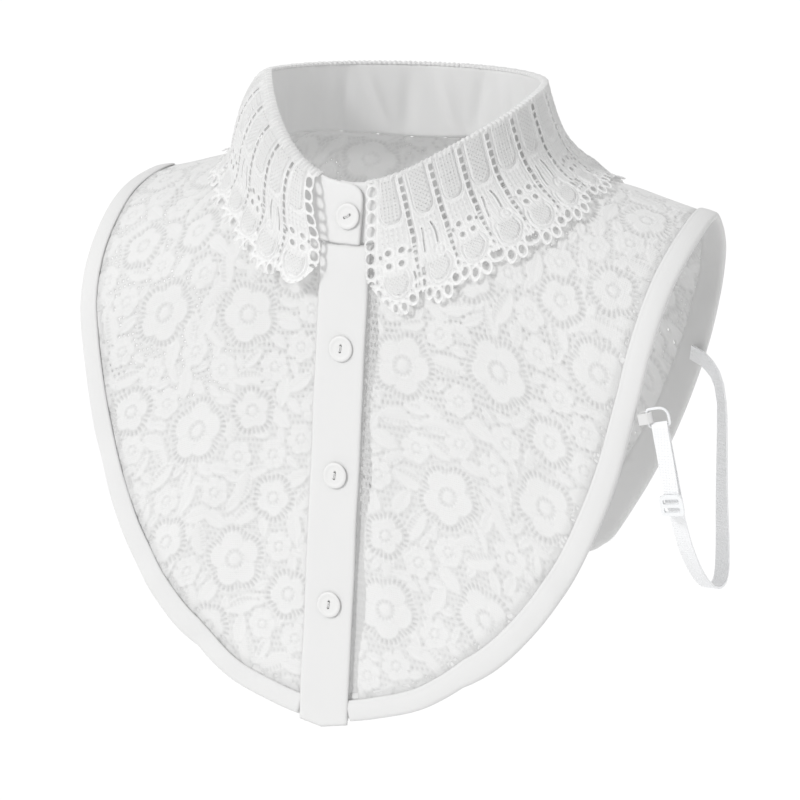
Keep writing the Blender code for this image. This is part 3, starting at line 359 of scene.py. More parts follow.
def away_from_neck(side, angle):
    return np.array([SIGN[side] * sin(angle), -cos(angle), 0.0])


# ---- meshes
def add_piece(name, mesh, finish, node=None):
    piece = bpy.data.objects.new(name, mesh)
    bpy.context.scene.collection.objects.link(piece)
    mesh.materials.append(finish)
    mesh.shade_smooth()
    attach(piece, "root")
    if node:
        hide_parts(node)
    return piece


def mesh_of(name, points, quads, chart):
    """A mesh from arrays of points and four-cornered faces; chart is its flat pattern in metres."""
    mesh = bpy.data.meshes.new(name)
    mesh.vertices.add(len(points))
    mesh.vertices.foreach_set("co", np.asarray(points, np.float32).ravel())
    mesh.loops.add(4 * len(quads))
    mesh.loops.foreach_set("vertex_index", np.asarray(quads, np.int32).ravel())
    mesh.polygons.add(len(quads))
    mesh.polygons.foreach_set("loop_start", np.arange(0, 4 * len(quads), 4, dtype=np.int32))
    mesh.update(calc_edges=True)
    layer = mesh.uv_layers.new(name="flat")
    layer.uv.foreach_set("vector", np.asarray(chart, np.float32)[np.ravel(quads)].ravel())
    mesh.validate()
    return mesh


def lace_mesh(name, place, normal, flat, depth, high, low):
    """Lace as one thin sheet, cut through where depth is below 0; low, 0 to 1, is painted shade
    that darkens its thread where it lies low.

    Each sample inside the thread gets a face.  Each cell between four samples gets a vertex,
    drawn to the thread's edge where that edge crosses the cell.
    """
    depth = depth.copy()
    depth[[0, -1], :] = -1.0
    depth[:, [0, -1]] = -1.0
    corner = {(0, 0): np.s_[:-1, :-1], (1, 0): np.s_[1:, :-1],
              (0, 1): np.s_[:-1, 1:], (1, 1): np.s_[1:, 1:]}
    count = np.zeros(depth[corner[0, 0]].shape)
    total = np.zeros((2,) + count.shape)
    for (i, j), (m, n) in (((0, 0), (1, 0)), ((0, 1), (1, 1)), ((0, 0), (0, 1)), ((1, 0), (1, 1))):
        a, b = depth[corner[i, j]], depth[corner[m, n]]
        crossed = (a > 0) != (b > 0)
        t = np.where(crossed, a / np.where(crossed, a - b, 1.0), 0.0)
        total[0] += crossed * (i + t * (m - i))
        total[1] += crossed * (j + t * (n - j))
        count += crossed
    u, v = np.where(count > 0, total / np.maximum(count, 1), 0.5)
    rows, columns = np.nonzero(depth > 0)
    cells = [(rows + i, columns + j) for i, j in ((-1, -1), (0, -1), (0, 0), (-1, 0))]
    used = np.zeros(count.shape, bool)
    for cell in cells:
        used[cell] = True
    number = np.full(used.shape, -1)
    number[used] = np.arange(used.sum())
    quads = np.stack([number[cell] for cell in cells], 1)

    def between(grid):
        """The grid's values at the vertices."""
        shape = (...,) + (None,) * (grid.ndim - 2)
        p, q = u[used][shape], v[used][shape]
        a, b, c, d = (grid[part][used] for part in corner.values())
        return (a * (1 - p) + b * p) * (1 - q) + (c * (1 - p) + d * p) * q

    points = between(place) + between(normal) * between(high)[:, None] * MM
    mesh = mesh_of(name, points, quads, between(flat))
    # painted shade: how much darker each point's thread is painted where it lies low
    layer = mesh.attributes.new("low", "FLOAT", "POINT")
    layer.data.foreach_set("value", between(low).astype(np.float32))
    return mesh


RIM_THIN = 0.45           # share of a wall's thickness left at its rim


def shell_mesh(name, points, thickness, flat, normals=None):
    """A closed wall of even thickness about a grid of points, its rim drawn in a little."""
    if normals is None:
        normals = grid_normals(points)
    n, m = points.shape[:2]
    half = np.full((n, m, 1), thickness / 2)
    half[[0, -1], :] *= RIM_THIN
    half[:, [0, -1]] *= RIM_THIN
    both = np.stack([points + normals * half, points - normals * half])
    number = np.arange(n * m).reshape(n, m)
    quads = np.stack([number[:-1, :-1], number[1:, :-1], number[1:, 1:], number[:-1, 1:]], -1)
    quads = quads.reshape(-1, 4)
    rim = np.concatenate([number[:, 0], number[-1, 1:], number[-2::-1, -1], number[0, -2:0:-1]])
    after = np.roll(rim, -1)
    sides = np.stack([after, rim, rim + n * m, after + n * m], 1)
    faces = np.concatenate([quads[:, ::-1], quads + n * m, sides[:, ::-1]])
    return mesh_of(name, both.reshape(-1, 3), faces, np.tile(flat.reshape(-1, 2), (2, 1)))


def loft_mesh(name, rings, flat=None):
    """A skin through rings of points, an even number in each, capped at both ends."""
    rings = np.asarray(rings, float)
    if flat is None:
        flat = grid_of(run_along(rings[:, 0]), run_along(rings[0]))
    n, m = rings.shape[:2]
    number = np.arange(n * m).reshape(n, m)
    after = np.roll(number, -1, axis=1)
    quads = [np.stack([number[:-1], number[1:], after[1:], after[:-1]], -1).reshape(-1, 4)]
    for last, order in ((0, [0, 1, 2, 3]), (1, [0, 3, 2, 1])):
        even, odd = number[-last, 0::2], number[-last, 1::2]
        cap = np.stack([np.full(m // 2, n * m + last), even, odd, np.roll(even, -1)], 1)
        quads.append(cap[:, order])
    middles = np.array([rings[0].mean(0), rings[-1].mean(0)])
    chart = flat.reshape(-1, 2)
    return mesh_of(name, np.concatenate([rings.reshape(-1, 3), middles]), np.concatenate(quads),
                   np.concatenate([chart, chart[:1], chart[-1:]]))


def tube_rings(line, radius, sides):
    """Round rings along a line of points."""
    line = np.asarray(line, float)
    run = unit(np.gradient(line, axis=0))
    aside = unit(np.cross(run, (0.0, 0.0, 1.0)))
    over = unit(np.cross(aside, run))
    turn = (np.arange(sides) / sides * 2 * pi)[None, :, None]
    return line[:, None] + radius * (aside[:, None] * np.cos(turn) + over[:, None] * np.sin(turn))


# ---- lace motifs, mm
SLIT_PITCH, SLIT_DEEP, SLIT_SIDE = 1.6, 0.70, 0.3
RING_CORD, RING_REACH, RING_LOW, BAR_PITCH = 2.9, 3.3, 0.80, 1.95
STRIP_IN, STRIP_OUT = 12.0, 16.6      # narrow net down the left front beside the placket
CLOSED_FILL, CLOSED_OVER = 0.9, 12.0  # thread added in the holes, and over what length
RINGED, LARGE = 7.8, 10.0             # above these radii a flower has a ring and more room
RING_ROOM, SMALL_ROOM = 2.6, 0.4      # kept free round a large and a smaller one
FILLING = [  # motif, radius, tries, room round it
    ("flower", 7.0, 900, 0.4), ("leaf", 4.6, 4200, 0.0), ("leaf", 3.4, 5200, -0.2),
    ("leaf", 2.4, 6400, -0.3),
]
BACK_FILLING = [("flower", 12.3, 900, 5.0)] + FILLING


def rounded(depth, over):
    """0 at a thread's edge, 1 from this far inside it, like the side of a cord."""
    t = 1 - np.clip(depth / over, 0, 1)
    return np.sqrt(1 - t * t)


def cord(distance, half, height):
    return height * np.sqrt(np.clip(1 - (distance / half) ** 2, 0, 1))


def apart(value, pitch=1.0):
    """How far a value is from the nearest whole multiple of the pitch."""
    count = value / pitch
    return np.abs(count - np.round(count)) * pitch


def spokes(turn, r, count):
    """How far a point is from the nearest of so many spokes."""
    return apart(turn * count / (2 * pi)) * 2 * pi * r / count


def net(u, v, cell=2.3, tall=1.4, thread=1.58):
    """A net of six-sided cells, taller than wide and slightly uneven."""
    u = u + 0.35 * np.sin(v / 3.1 + 0.6) + 0.30 * np.sin(u / 4.7 + v / 6.1)
    v = (v + 0.35 * np.sin(u / 3.7) + 0.30 * np.sin(v / 5.3 - u / 4.1 + 1.0)) / tall
    high = cell * 3 ** 0.5
    best = np.full(u.shape, np.inf)
    border = np.zeros(u.shape)
    for shift in (0.0, 0.5):
        a = u - (np.round(u / cell - shift) + shift) * cell
        b = v - (np.round(v / high - shift) + shift) * high
        far = a * a + b * b
        reach = np.maximum(np.abs(a), np.abs(a) / 2 + np.abs(b) * 0.75 ** 0.5)
        border = np.where(far < best, cell / 2 - reach, border)
        best = np.minimum(best, far)
    depth = thread / 2 - border
    return depth, 0.45 * rounded(depth, 0.5) + 0.3 * np.minimum(depth, 0) - NET_LOW


def flower(u, v, radius, petals, ring):
    """Rounded petals with corded edges round an eye of fine slits, in a ring of short bars."""
    r, turn = np.hypot(u, v) + 1e-9, np.arctan2(v, u)
    sector = (turn + pi / petals) % (2 * pi / petals) - pi / petals
    along, aside = r * np.cos(sector), r * np.sin(sector)
    petal = 0.40 * radius - np.hypot(along - 0.60 * radius, 0.92 * aside)
    edge = np.maximum(petal, 0.52 * radius - r)
    eye = 0.42 * radius
    slits = max(7, round(2 * pi * 0.30 * radius / SLIT_PITCH))
    slit = np.minimum(r - 0.22 * radius, 0.38 * radius - r)
    slit = np.minimum(0.45 - spokes(turn, r, slits), slit)
    groove = r * np.sin(pi / petals - np.abs(sector)) + 3.0 * (r < eye)
    dome = np.clip(1 - ((along - 0.62 * radius) ** 2 + aside ** 2) / (0.40 * radius) ** 2, 0, 1)
    high = (0.22 * rounded(edge, 0.4) + 0.12 * dome + cord(edge - 0.5, 0.45, 0.26)
            + cord(r - eye, 0.5, 0.26) + 0.25 * rounded(0.20 * radius - r, 0.7)
            - 0.35 * bell(groove, 0.40) - SLIT_DEEP * smooth(slit / SLIT_SIDE))
    if not ring:
        return edge + 0.05, edge, high
    bar = 0.70 - spokes(turn, r, round(2 * pi * radius / BAR_PITCH))
    outer = np.maximum(bar, 0.46 - np.abs(edge + RING_CORD))
    high = np.where(edge > 0, high, 0.85 * rounded(outer, 0.4) - RING_LOW)
    return edge + RING_REACH, np.maximum(edge, 0.5), high


def leaf(u, v, long, wide, laddered):
    """A pointed leaf with a corded edge and a vein; one half may be a row of slits."""
    t = 2 * u / long
    side = wide / 2 * np.clip(1 - t * t, 0, 1) ** 0.75 - np.abs(v)
    side = side - 0.8 * np.clip(np.abs(t) - 1, 0, 9)
    slit = np.full(side.shape, -1.0)
    if laddered:
        slit = np.minimum(0.45 - apart(u, 1.7), np.minimum(v - 0.45, side - 0.65))
    high = (0.30 * rounded(side, 0.6) + cord(side - 0.45, 0.42, 0.32)
            + 0.15 * np.clip(side / wide, 0, 1) - 0.30 * bell(v, 0.35)
            - SLIT_DEEP * smooth(slit / SLIT_SIDE))
    return side + 0.05, side, high


class Lace:
    """Thread on an even grid of samples: depth inside it (below 0 in a hole) and height, in mm."""

    def __init__(self, left, right, top, bottom, step):
        self.across = np.arange(left, right + step, step)
        self.down = np.arange(top, bottom + step, step)
        self.grid = np.meshgrid(self.across, self.down, indexing="ij")
        self.depth, self.high = net(*self.grid)
        closed = self.depth + CLOSED_FILL * smooth((self.grid[1] - NET_CLOSED) / CLOSED_OVER)
        self.depth = np.where(self.depth > 0, self.depth, closed)

    def paint(self, motif, across, down, reach, turn, **sizes):
        i = slice(*np.searchsorted(self.across, (across - reach, across + reach)))
        j = slice(*np.searchsorted(self.down, (down - reach, down + reach)))
        a, b = self.grid[0][i, j] - across, self.grid[1][i, j] - down
        if not a.size:
            return
        u, v = a * cos(turn) + b * sin(turn), b * cos(turn) - a * sin(turn)
        claim, depth, high = motif(u, v, **sizes)
        own = claim > 0
        self.depth[i, j] = np.where(own, depth, self.depth[i, j])
        self.high[i, j] = np.where(own, high, self.high[i, j])


def outline_depth(u, v, outline):
    """How far each sample is inside a closed outline, below 0 outside it."""
    nearest = np.full(u.shape, 1e9)
    odd = np.zeros(u.shape, bool)
    for (ax, ay), (bx, by) in zip(outline, np.roll(outline, -1, axis=0)):
        dx, dy = bx - ax, by - ay
        length = max(dx * dx + dy * dy, 1e-12)
        t = np.clip(((u - ax) * dx + (v - ay) * dy) / length, 0, 1)
        nearest = np.minimum(nearest, (u - ax - t * dx) ** 2 + (v - ay - t * dy) ** 2)
        if dy != 0:
            odd ^= ((ay > v) != (by > v)) & (u < ax + (v - ay) * dx / dy)
    return np.where(odd, 1.0, -1.0) * np.sqrt(nearest)


def lace_layout(lace, flowers, chance, filling):
    """Where the motifs of a panel lie: first more flowers, then leaves in the room left."""
    taken = [(x, y, r + (RING_ROOM if r > LARGE else SMALL_ROOM)) for x, y, r in flowers]
    motifs = [("flower", x, y, r) for x, y, r in flowers]
    left, right = lace.across[[0, -1]]
    top, bottom = lace.down[[0, -1]]
    for kind, radius, tries, room in filling:
        for x, y in chance.uniform((left, top), (right, bottom), (tries, 2)):
            near = np.array(taken).reshape(-1, 3)
            far = np.hypot(near[:, 0] - x, near[:, 1] - y)
            if (far < near[:, 2] + radius + room).any():
                continue
            taken.append((x, y, radius + (RING_ROOM if radius > LARGE else 0.0)))
            motifs.append((kind, x, y, radius))
    return motifs


def paint_panel(lace, flowers, seed, part):
    chance = np.random.default_rng(seed)
    motifs = lace_layout(lace, flowers, chance, BACK_FILLING if part == "back" else FILLING)
    turns = chance.uniform(0, 2 * pi, len(motifs))
    pulls = chance.uniform(0, 1, len(motifs))
    drawn = sorted(zip(motifs, turns, pulls), key=lambda entry: entry[0][3])
    for (kind, x, y, radius), turn, pull in drawn:
        if kind == "flower":
            lace.paint(flower, x, y, radius + 4, turn, radius=radius, ring=radius > RINGED,
                       petals=5 if radius > 7 else 6)
        else:
            long = radius * (3.0 + 0.9 * pull)
            lace.paint(leaf, x, y, long, turn, long=long, wide=radius * (1.5 + 0.35 * pull),
                       laddered=radius > 3 and pull > 0.45)
    if part == "back":
        return
    u, v = lace.grid
    strip = (u > STRIP_IN) & (u < STRIP_OUT + 1.2 * np.sin(v / 9.0))
    depth, high = net(u, v, cell=1.75, tall=2.1, thread=0.62)
    depth += 0.8 * smooth((v - STRIP_CLOSED) / 10)
    lace.depth = np.where(strip, depth, lace.depth)
    lace.high = np.where(strip, high - 0.25, lace.high)


# ---- lace panels
def finished_edge(side, part, count=200):
    """The outer edge of a front or of half the back, from the shoulder to the centre."""
    rows = spline(FRONT_EDGE if part == "front" else BACK_EDGE, count)
    rows[:, 0] *= SIGN[side]
    return rows


def beside(rows):
    """Unit steps square to a flat line, all to the same side of it."""
    way = unit(np.gradient(rows, axis=0))
    return np.stack([-way[:, 1], way[:, 0]], 1)


def inset(rows, amount):
    """The rows moved away from the edge, into the cloth."""
    aside = beside(rows)
    middle = np.array([0.0, rows[-1, 1] / 2])
    inward = aside * np.sign(((middle - rows) * aside).sum(1))[:, None]
    return rows + inward * amount


def half_outline(side, part):
    """The neck line from the centre to the shoulder, then the raw edge back to the centre."""
    stop = PANEL_MEET if part == "front" else 0.0
    start = np.arcsin(stop / NECK_HALF[side])
    if part == "back":
        start = pi - start
    neck = [neck_line(side, a) for a in np.linspace(start, shoulder_angle(), 60)]
    edge = inset(finished_edge(side, part), EDGE_TURN)
    edge[0] = (np.sign(edge[5, 0]) * (FRONT_EDGE[0][0] - EDGE_TURN), 0.0)
    edge = edge[np.abs(edge[:, 0]) > stop]
    last = np.array([np.sign(edge[0, 0]) * stop, edge[-1, 1]])
    return np.vstack([neck, edge, [last]])


def panel(name, sides, part, spacing, seed, flowers, finish):
    if len(sides) == 2:
        right, left = (half_outline(side, part) for side in sides)
        outline = np.vstack([left, right[::-1]])
    else:
        outline = half_outline(sides[0], part)
    outline = outline / MM
    first, last = outline.min(0) - 2 * spacing, outline.max(0) + 2 * spacing
    lace = Lace(first[0], last[0], first[1], last[1], spacing)
    paint_panel(lace, flowers, seed, part)
    u, v = lace.grid
    inside = outline_depth(u, v, outline)
    lace.depth = np.minimum(lace.depth, inside)
    # painted shade: thread lying lower than the motifs, in the net and slots, is painted darker
    low = smooth((PAINTED_SHADE_BELOW - lace.high) / PAINTED_SHADE_OVER)
    high = PANEL_RELIEF * np.tanh(lace.high) * smooth((inside - FLAT_INSIDE) / FLAT_OVER)
    u, v = u * MM, v * MM
    flat = np.stack([u, v], -1)
    mesh = lace_mesh(name, cloth(u, v), outward(u, v), flat, lace.depth, high, low)
    return add_piece(name + "_lace", mesh, finish, name)


# ---- binding
BINDING_SECTION = [  # depth in from the raw edge, lift from the middle of the lace; mm
    (7.70, 0.10), (7.90, 0.50), (7.60, 1.00), (6.70, 1.28), (6.25, 1.20), (5.90, 1.34),
    (4.00, 1.50), (2.00, 1.50), (0.40, 1.42), (-0.70, 1.10), (-1.20, 0.50), (-1.20, -0.50),
    (-0.70, -1.10), (0.40, -1.42), (2.00, -1.50), (5.00, -1.50), (9.00, -1.45), (10.40, -1.30),
    (10.72, -0.90), (10.60, -0.15), (5.00, -0.45), (0.00, -0.42), (0.00, 0.42), (4.00, 0.45),
]
BINDING_RIPPLE = ((0.10, 0.0071, 0.0), (0.08, 0.0113, 1.0), (0.06, 0.0047, 2.0))
BINDING_STEP = 0.0014


def binding_line(side):
    """Raw edge from the front hem over the shoulder to the back hem, and the way into the cloth."""
    front = finished_edge(side, "front", 240)[::-1]
    rows = np.vstack([front[:-1], finished_edge(side, "back", 240)])
    run = run_along(rows)
    want = np.arange(0, run[-1], BINDING_STEP)
    rows = at_lengths(rows, run, want)
    into = beside(rows) * -SIGN[side]
    start = PLACKET_LEFT if side == "left" else -PLACKET_RIGHT
    keep = (np.abs(rows[:, 0]) > start + 0.0003) | (rows[:, 1] < 0)
    keep &= (np.abs(rows[:, 0]) > 0.0002) | (rows[:, 1] > 0)
    return (rows + into * EDGE_TURN)[keep], into[keep], want[keep]


def binding(side, finish):
    raw, into, run = binding_line(side)
    section = np.array(BINDING_SECTION) * MM
    ripple = sum(high * np.sin(run / long + start) for high, long, start in BINDING_RIPPLE) * MM
    rings = []
    for depth, lift in section:
        at = raw + into * depth
        extra = ripple * np.sign(lift) * (1.0 if depth > 0 else 0.3)
        rings.append(cloth(at[:, 0], at[:, 1], lift + extra))
    rings = np.stack(rings, 1)
    flat = grid_of(run, run_along(section))
    if side == "left":
        rings, flat = rings[:, ::-1], flat[:, ::-1]
    mesh = loft_mesh("binding_" + side, rings, flat)
    return add_piece("binding_%s_cotton" % side, mesh, finish, "binding_" + side)


# ---- front opening
def band(name, finish):
    """A straight strip down the centre front."""
    right, left, lift, wall, below, ripple = BANDS[name]
    across = np.linspace(right, left, BAND_COLUMNS)
    edge = finished_edge("left", "front")[::-1]
    hem = np.interp(np.abs(across), edge[:, 0], edge[:, 1])
    sides = ["left" if x > 0 else "right" for x in across]
    neck = np.array([neck_line(side, np.arcsin(abs(x) / NECK_HALF[side]))[1]
                     for side, x in zip(sides, across)]) + BAND_SEAM
    share = np.linspace(0, 1, BAND_ROWS)[None, :]
    down = neck[:, None] + (hem + below - neck)[:, None] * share
    x = np.broadcast_to(across[:, None], down.shape)
    wave = ripple * (np.sin(down / 0.0102 + 40 * x) + 0.7 * np.sin(down / 0.0063 - 60 * x + 1.0))
    wave = wave * (0.35 + np.abs(x / left))
    turn = -BAND_TURN * bell(np.minimum(x - right, left - x), BAND_TURN_OVER)
    points = cloth(x, down, lift + wave + turn)
    mesh = shell_mesh(name, points[::-1], wall, np.stack([x, down], -1)[::-1])
    return add_piece(name + "_cotton", mesh, finish, name)


def frame_at(point, normal, along):
    """A matrix at a point, its Z along the normal and its X near the given direction."""
    up = Vector(normal).normalized()
    across = Vector(along)
    across = (across - up * across.dot(up)).normalized()
    turn = Matrix((across, up.cross(across), up)).transposed()
    return Matrix.Translation(Vector(point)) @ turn.to_4x4()


BUTTON_PROFILE = [  # radius, height; mm
    (0.0, 0.70), (2.6, 0.70), (3.5, 0.72), (3.95, 0.80), (4.3, 0.88), (4.75, 0.90), (5.2, 0.80),
    (5.52, 0.60), (5.6, 0.40), (5.45, 0.18), (5.0, 0.04), (4.6, 0.0), (0.0, 0.0),
]
HOLE_ACROSS, HOLE_RADIUS = 0.0013, 0.00060
STITCH_LONG, STITCH_RADIUS = 0.0026, 0.00018


def cut_holes(piece):
    """The mesh of a button with its two holes cut through."""
    cutters = []
    for sign in (-1, 1):
        bpy.ops.mesh.primitive_cylinder_add(vertices=20, radius=HOLE_RADIUS, depth=0.008,
                                            location=(sign * HOLE_ACROSS, 0, 0))
        cutters.append(bpy.context.object)
        cut = piece.modifiers.new("hole", "BOOLEAN")
        cut.operation, cut.solver, cut.object = "DIFFERENCE", "EXACT", cutters[-1]
    graph = bpy.context.evaluated_depsgraph_get()
    piece.parent = None
    bpy.context.view_layer.update()
    mesh = bpy.data.meshes.new_from_object(piece.evaluated_get(graph))
    piece.modifiers.clear()
    for cutter in cutters:
        bpy.data.objects.remove(cutter)
    return mesh


def button(number, place, finish, thread):
    """A two-hole button, dished, with the thread that sews it on."""
    name = "button_%d" % number
    profile = np.array(BUTTON_PROFILE) * MM
    profile = spline_at(profile, np.linspace(0, len(profile) - 1, 40))[1:-1]
    radius, height = np.maximum(profile[:, 0, None], 0.0), profile[:, 1, None]
    turn = np.linspace(0, 2 * pi, 49)[:-1]
    height = np.broadcast_to(height, (len(profile), len(turn)))
    rings = np.stack([radius * np.cos(turn), radius * np.sin(turn), height], -1)
    piece = add_piece(name + "_pearl", loft_mesh(name, rings), finish, name)
    piece.data = cut_holes(piece)
    piece.data.transform(place)
    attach(piece, "root")
    for number, side in ((1, -1), (2, 1)):
        line = [(t * STITCH_LONG, side * 0.00022 * (1 - t * t * 4) + side * 0.0001,
                 0.00075 + 0.00018 * (1 - (2 * t) ** 4)) for t in np.linspace(-0.5, 0.5, 9)]
        stitch_name = "%s_thread_%d" % (name, number)
        stitch = loft_mesh(stitch_name, tube_rings(line, STITCH_RADIUS, 8))
        stitch.transform(place)
        add_piece(stitch_name, stitch, thread)


def buttons(finish, thread):
    over = PLACKET_LIFT + PLACKET_WALL / 2 + BUTTON_GAP
    for number, down in enumerate(BUTTONS_DOWN, start=2):
        out = outward(BUTTON_ACROSS, down)
        place = frame_at(cloth(BUTTON_ACROSS, down, over), out, BUTTON_TURN)
        button(number, place, finish, thread)
    point, out = stand_point(stand_over_share(STAND_BUTTON_ACROSS), STAND_BUTTON_UP)
    place = frame_at(point + out * (STAND_WALL / 2 + BUTTON_GAP), out, STAND_BUTTON_TURN)
    button(1, place, finish, thread)


# ---- collar stand
def stand_ends():
    return -STAND_OVER_END / FOLD_HALF["right"], -STAND_UNDER_END / FOLD_HALF["left"]


def round_neck(share):
    """Side and angle at a share of the stand's run, from its upper end to its under end."""
    over, under = stand_ends()
    turn = over + share * (2 * pi - over - under)
    return ("right", turn) if turn < pi else ("left", 2 * pi - turn)


def stand_over_share(across):
    over, under = stand_ends()
    return (-across / FOLD_HALF["right"] - over) / (2 * pi - over - under)


def stand_edges(share):
    side, angle = round_neck(share)
    step = float(smooth((1 - share) / STAND_STEP_OVER) - smooth(share / STAND_STEP_OVER))
    step = STAND_STEP * step
    seam, fold = cloth(*neck_line(side, angle)), fold_line(side, angle)
    away = away_from_neck(side, angle)
    rise = unit(fold - seam)
    return seam + rise * STAND_SEAM + away * step, fold + away * step, away, rise


@lru_cache(maxsize=None)
def stand_length():
    line = np.array([stand_edges(share)[0] for share in np.linspace(0, 1, 200)])
    return float(np.linalg.norm(np.diff(line, axis=0), axis=1).sum())


def stand_point(share, up):
    seam, fold, away, rise = stand_edges(share)
    corner = STAND_CORNER - share * stand_length()
    top = 1.0
    if corner > 0:
        cutback = STAND_CORNER - (STAND_CORNER ** 2 - corner ** 2) ** 0.5
        top = 1.0 - cutback / np.linalg.norm(fold - seam)
    return seam + (fold - seam) * up * top, unit(away - rise * float(away @ rise))


# soft folds of its inside: share of its run and of its height, how wide and how tall in shares,
# slant, height in mm
STAND_FOLDS = [
    (0.285, 0.5, 0.008, 0.7, 0.10, 1.0), (0.330, 0.6, 0.009, 0.6, -0.06, -1.1),
    (0.366, 0.4, 0.008, 0.7, 0.08, 1.2), (0.404, 0.6, 0.007, 0.5, -0.12, -1.2),
    (0.440, 0.5, 0.009, 0.7, 0.05, 1.3), (0.484, 0.5, 0.008, 0.6, -0.08, -1.3),
    (0.522, 0.6, 0.008, 0.7, 0.10, 1.4), (0.560, 0.4, 0.007, 0.6, 0.04, -1.2),
    (0.604, 0.5, 0.009, 0.6, -0.10, 1.1), (0.660, 0.5, 0.010, 0.7, 0.06, -0.9),
    (0.220, 0.6, 0.010, 0.6, 0.05, -0.8), (0.730, 0.4, 0.010, 0.6, -0.06, 0.7),
]
STAND_FOLD_SLANT = 0.2
CORNER_SHARE = 0.024      # closer columns up to here, round the upper end's corner


def stand(finish):
    corner = np.linspace(0, CORNER_SHARE, 14, endpoint=False)
    shares = np.concatenate([corner, np.linspace(CORNER_SHARE, 1, 330)])
    coarse = np.concatenate([corner, np.linspace(CORNER_SHARE, 1, 130)])
    at = np.interp(shares, coarse, np.arange(len(coarse)))
    ups = np.linspace(0, 1, 26)
    low, high = (spline_at([stand_point(s, up)[0] for s in coarse], at) for up in (0.0, 1.0))
    out = unit(spline_at([stand_point(s, 0.5)[1] for s in coarse], at))
    points = low[:, None] + (high - low)[:, None] * ups[None, :, None]
    s, up = np.meshgrid(shares, ups, indexing="ij")
    fold = np.zeros(s.shape)
    for where, height, wide, tall, slant, lift in STAND_FOLDS:
        off = up - height
        fold += lift * bell(s - where - slant * off * STAND_FOLD_SLANT, wide) * bell(off, tall)
    fold *= np.sin(pi * np.clip(up, 0.03, 0.97)) ** 0.6 * MM
    points = points + out[:, None] * fold[..., None]
    flat = np.stack([s * stand_length(), up * STAND_HIGH], -1)
    normals = np.broadcast_to(out[:, None], points.shape)
    mesh = shell_mesh("stand", points, STAND_WALL, flat, normals)
    return add_piece("stand_cotton", mesh, finish, "stand")


# ---- collar fall
@lru_cache(maxsize=None)
def fold_run(side):
    angles = np.linspace(FALL_START[side], pi, 200)
    return angles, run_along(np.array([fold_line(side, angle) for angle in angles]))


def fall_column(side, share, widths):
    """Points of the fall down one line, at widths below the fold line; above it they roll over."""
    angles, run = fold_run(side)
    angle = float(np.interp(share * run[-1], run, angles))
    from_front = angle - FALL_START[side]
    away = away_from_neck(side, angle)
    top = fold_line(side, angle) + FALL_OFF_FOLD * away + np.array([0, 0, FALL_OVER_FOLD])
    low = angle + SKEW[side] * max(cos(angle), 0.0)
    low = low + TIP_SKEW[side] * bell(from_front, TIP_SKEW_OVER)
    contact = (FALL_CONTACT + SIDE_CONTACT[side] * sin(low) ** 2
               + NAPE_CONTACT * max(-cos(low), 0.0) ** 2)
    place, out = neck_line(side, low), neck_normal(side, low)

    def on_cloth(distance):
        distance = np.asarray(distance, float)
        tip = TIP_LIFT[side] * bell(from_front, TIP_LIFT_OVER) * smooth(distance / TIP_LIFT_FROM)
        lower = EDGE_LOWER * smooth(distance / EDGE_LOWER_FROM)
        at = place + out * distance[..., None]
        return cloth(at[..., 0], at[..., 1], FALL_LIFT + tip - lower)

    knee = on_cloth(contact)
    straight = np.linalg.norm(knee - top)

    def path(length):
        length = np.asarray(length, float)
        share_down = np.clip(length / straight, 0, 1) ** BULGE_EARLY[side]
        before = (top + (knee - top) * (length / straight)[..., None]
                  + FALL_BULGE[side] * np.sin(pi * share_down)[..., None] * away)
        beyond = on_cloth(contact + length - straight)
        return np.where((length < straight)[..., None], before, beyond)

    points = path(widths)
    t = ((widths - straight + FALL_BEND) / (2 * FALL_BEND))[:, None]
    before, after = path(straight - FALL_BEND), path(straight + FALL_BEND)
    bent = (1 - t) ** 2 * before + 2 * t * (1 - t) * knee + t * t * after
    points = np.where((t > 0) & (t < 1), bent, points)
    turn = np.minimum(-widths / ROLL_OUT, pi)[:, None]
    rolled = top - away * ROLL_OUT * (1 - np.cos(turn)) + np.array([0, 0, ROLL_UP]) * np.sin(turn)
    rolled[:, 2] -= np.maximum(-widths - pi * ROLL_OUT, 0.0)
    return np.where(widths[:, None] < 0, rolled, points)


# the guipure's pattern; in mm, and down from the fold where it says long, from or to
FALL_END = 0.9992         # the halves stop just short of each other, as a share of the way
PATTERN_WIDE = 57.6       # the fall's width that the pattern is drawn for
SHIFT_AT = ([0.0, 12.0, 28.0, 44.0, 58.0],      # widths, and how far it leans there in repeats
            [0.0, 0.05, 0.11, 0.0, -0.25])
RAIL, RAIL_HALF = 1.55, 0.58                    # cords on both sides of a ladder's middle
LADDER_LONG, RUNG_APART = 31.5, 3.7
NARROW_LONG, NARROW_APART = 50.0, 3.0           # and of its narrower lower part
FRONT_STRIP = 5.5         # the strip of holes along the front edge of each half
ARCH_LONG, QUATREFOIL, DROP, FAN = 15.6, 34.2, 44.2, 10.1   # the fan's is its radius
GROUND_LONG = 41.5
PINS_FROM, PINS_TO, PINS_DOWN, RIB_PITCH = 21.5, 31.0, 2.5, 1.9
NET_GRAIN, STIPPLE_GRAIN = 1.5, 1.7
HOLES_FROM, HOLES_APART, HOLES_LONG = 4.8, 5.6, 43.0
DROP_CORDS, DROP_OUT = ((5.1, 1.20), (6.8, 1.10)), 7.4
BEADS = ((0.26, 2.3), (0.08, 7.1))    # height, length
FAN_ANGLES = [-73.5, -44.1, -14.7, 14.7, 44.1, 73.5]
FIRST_FAN_ANGLES = [-103.0, -131.0]   # two more round the front corner


def repeats_at(share):
    """Number of repeats from the front edge to a share of the way to the nape."""
    rest = (REPEATS - FIRST_REPEAT) / (REPEATS - 1)
    run = share * REPEATS
    return np.where(run < FIRST_REPEAT, run / FIRST_REPEAT, 1 + (run - FIRST_REPEAT) / rest)


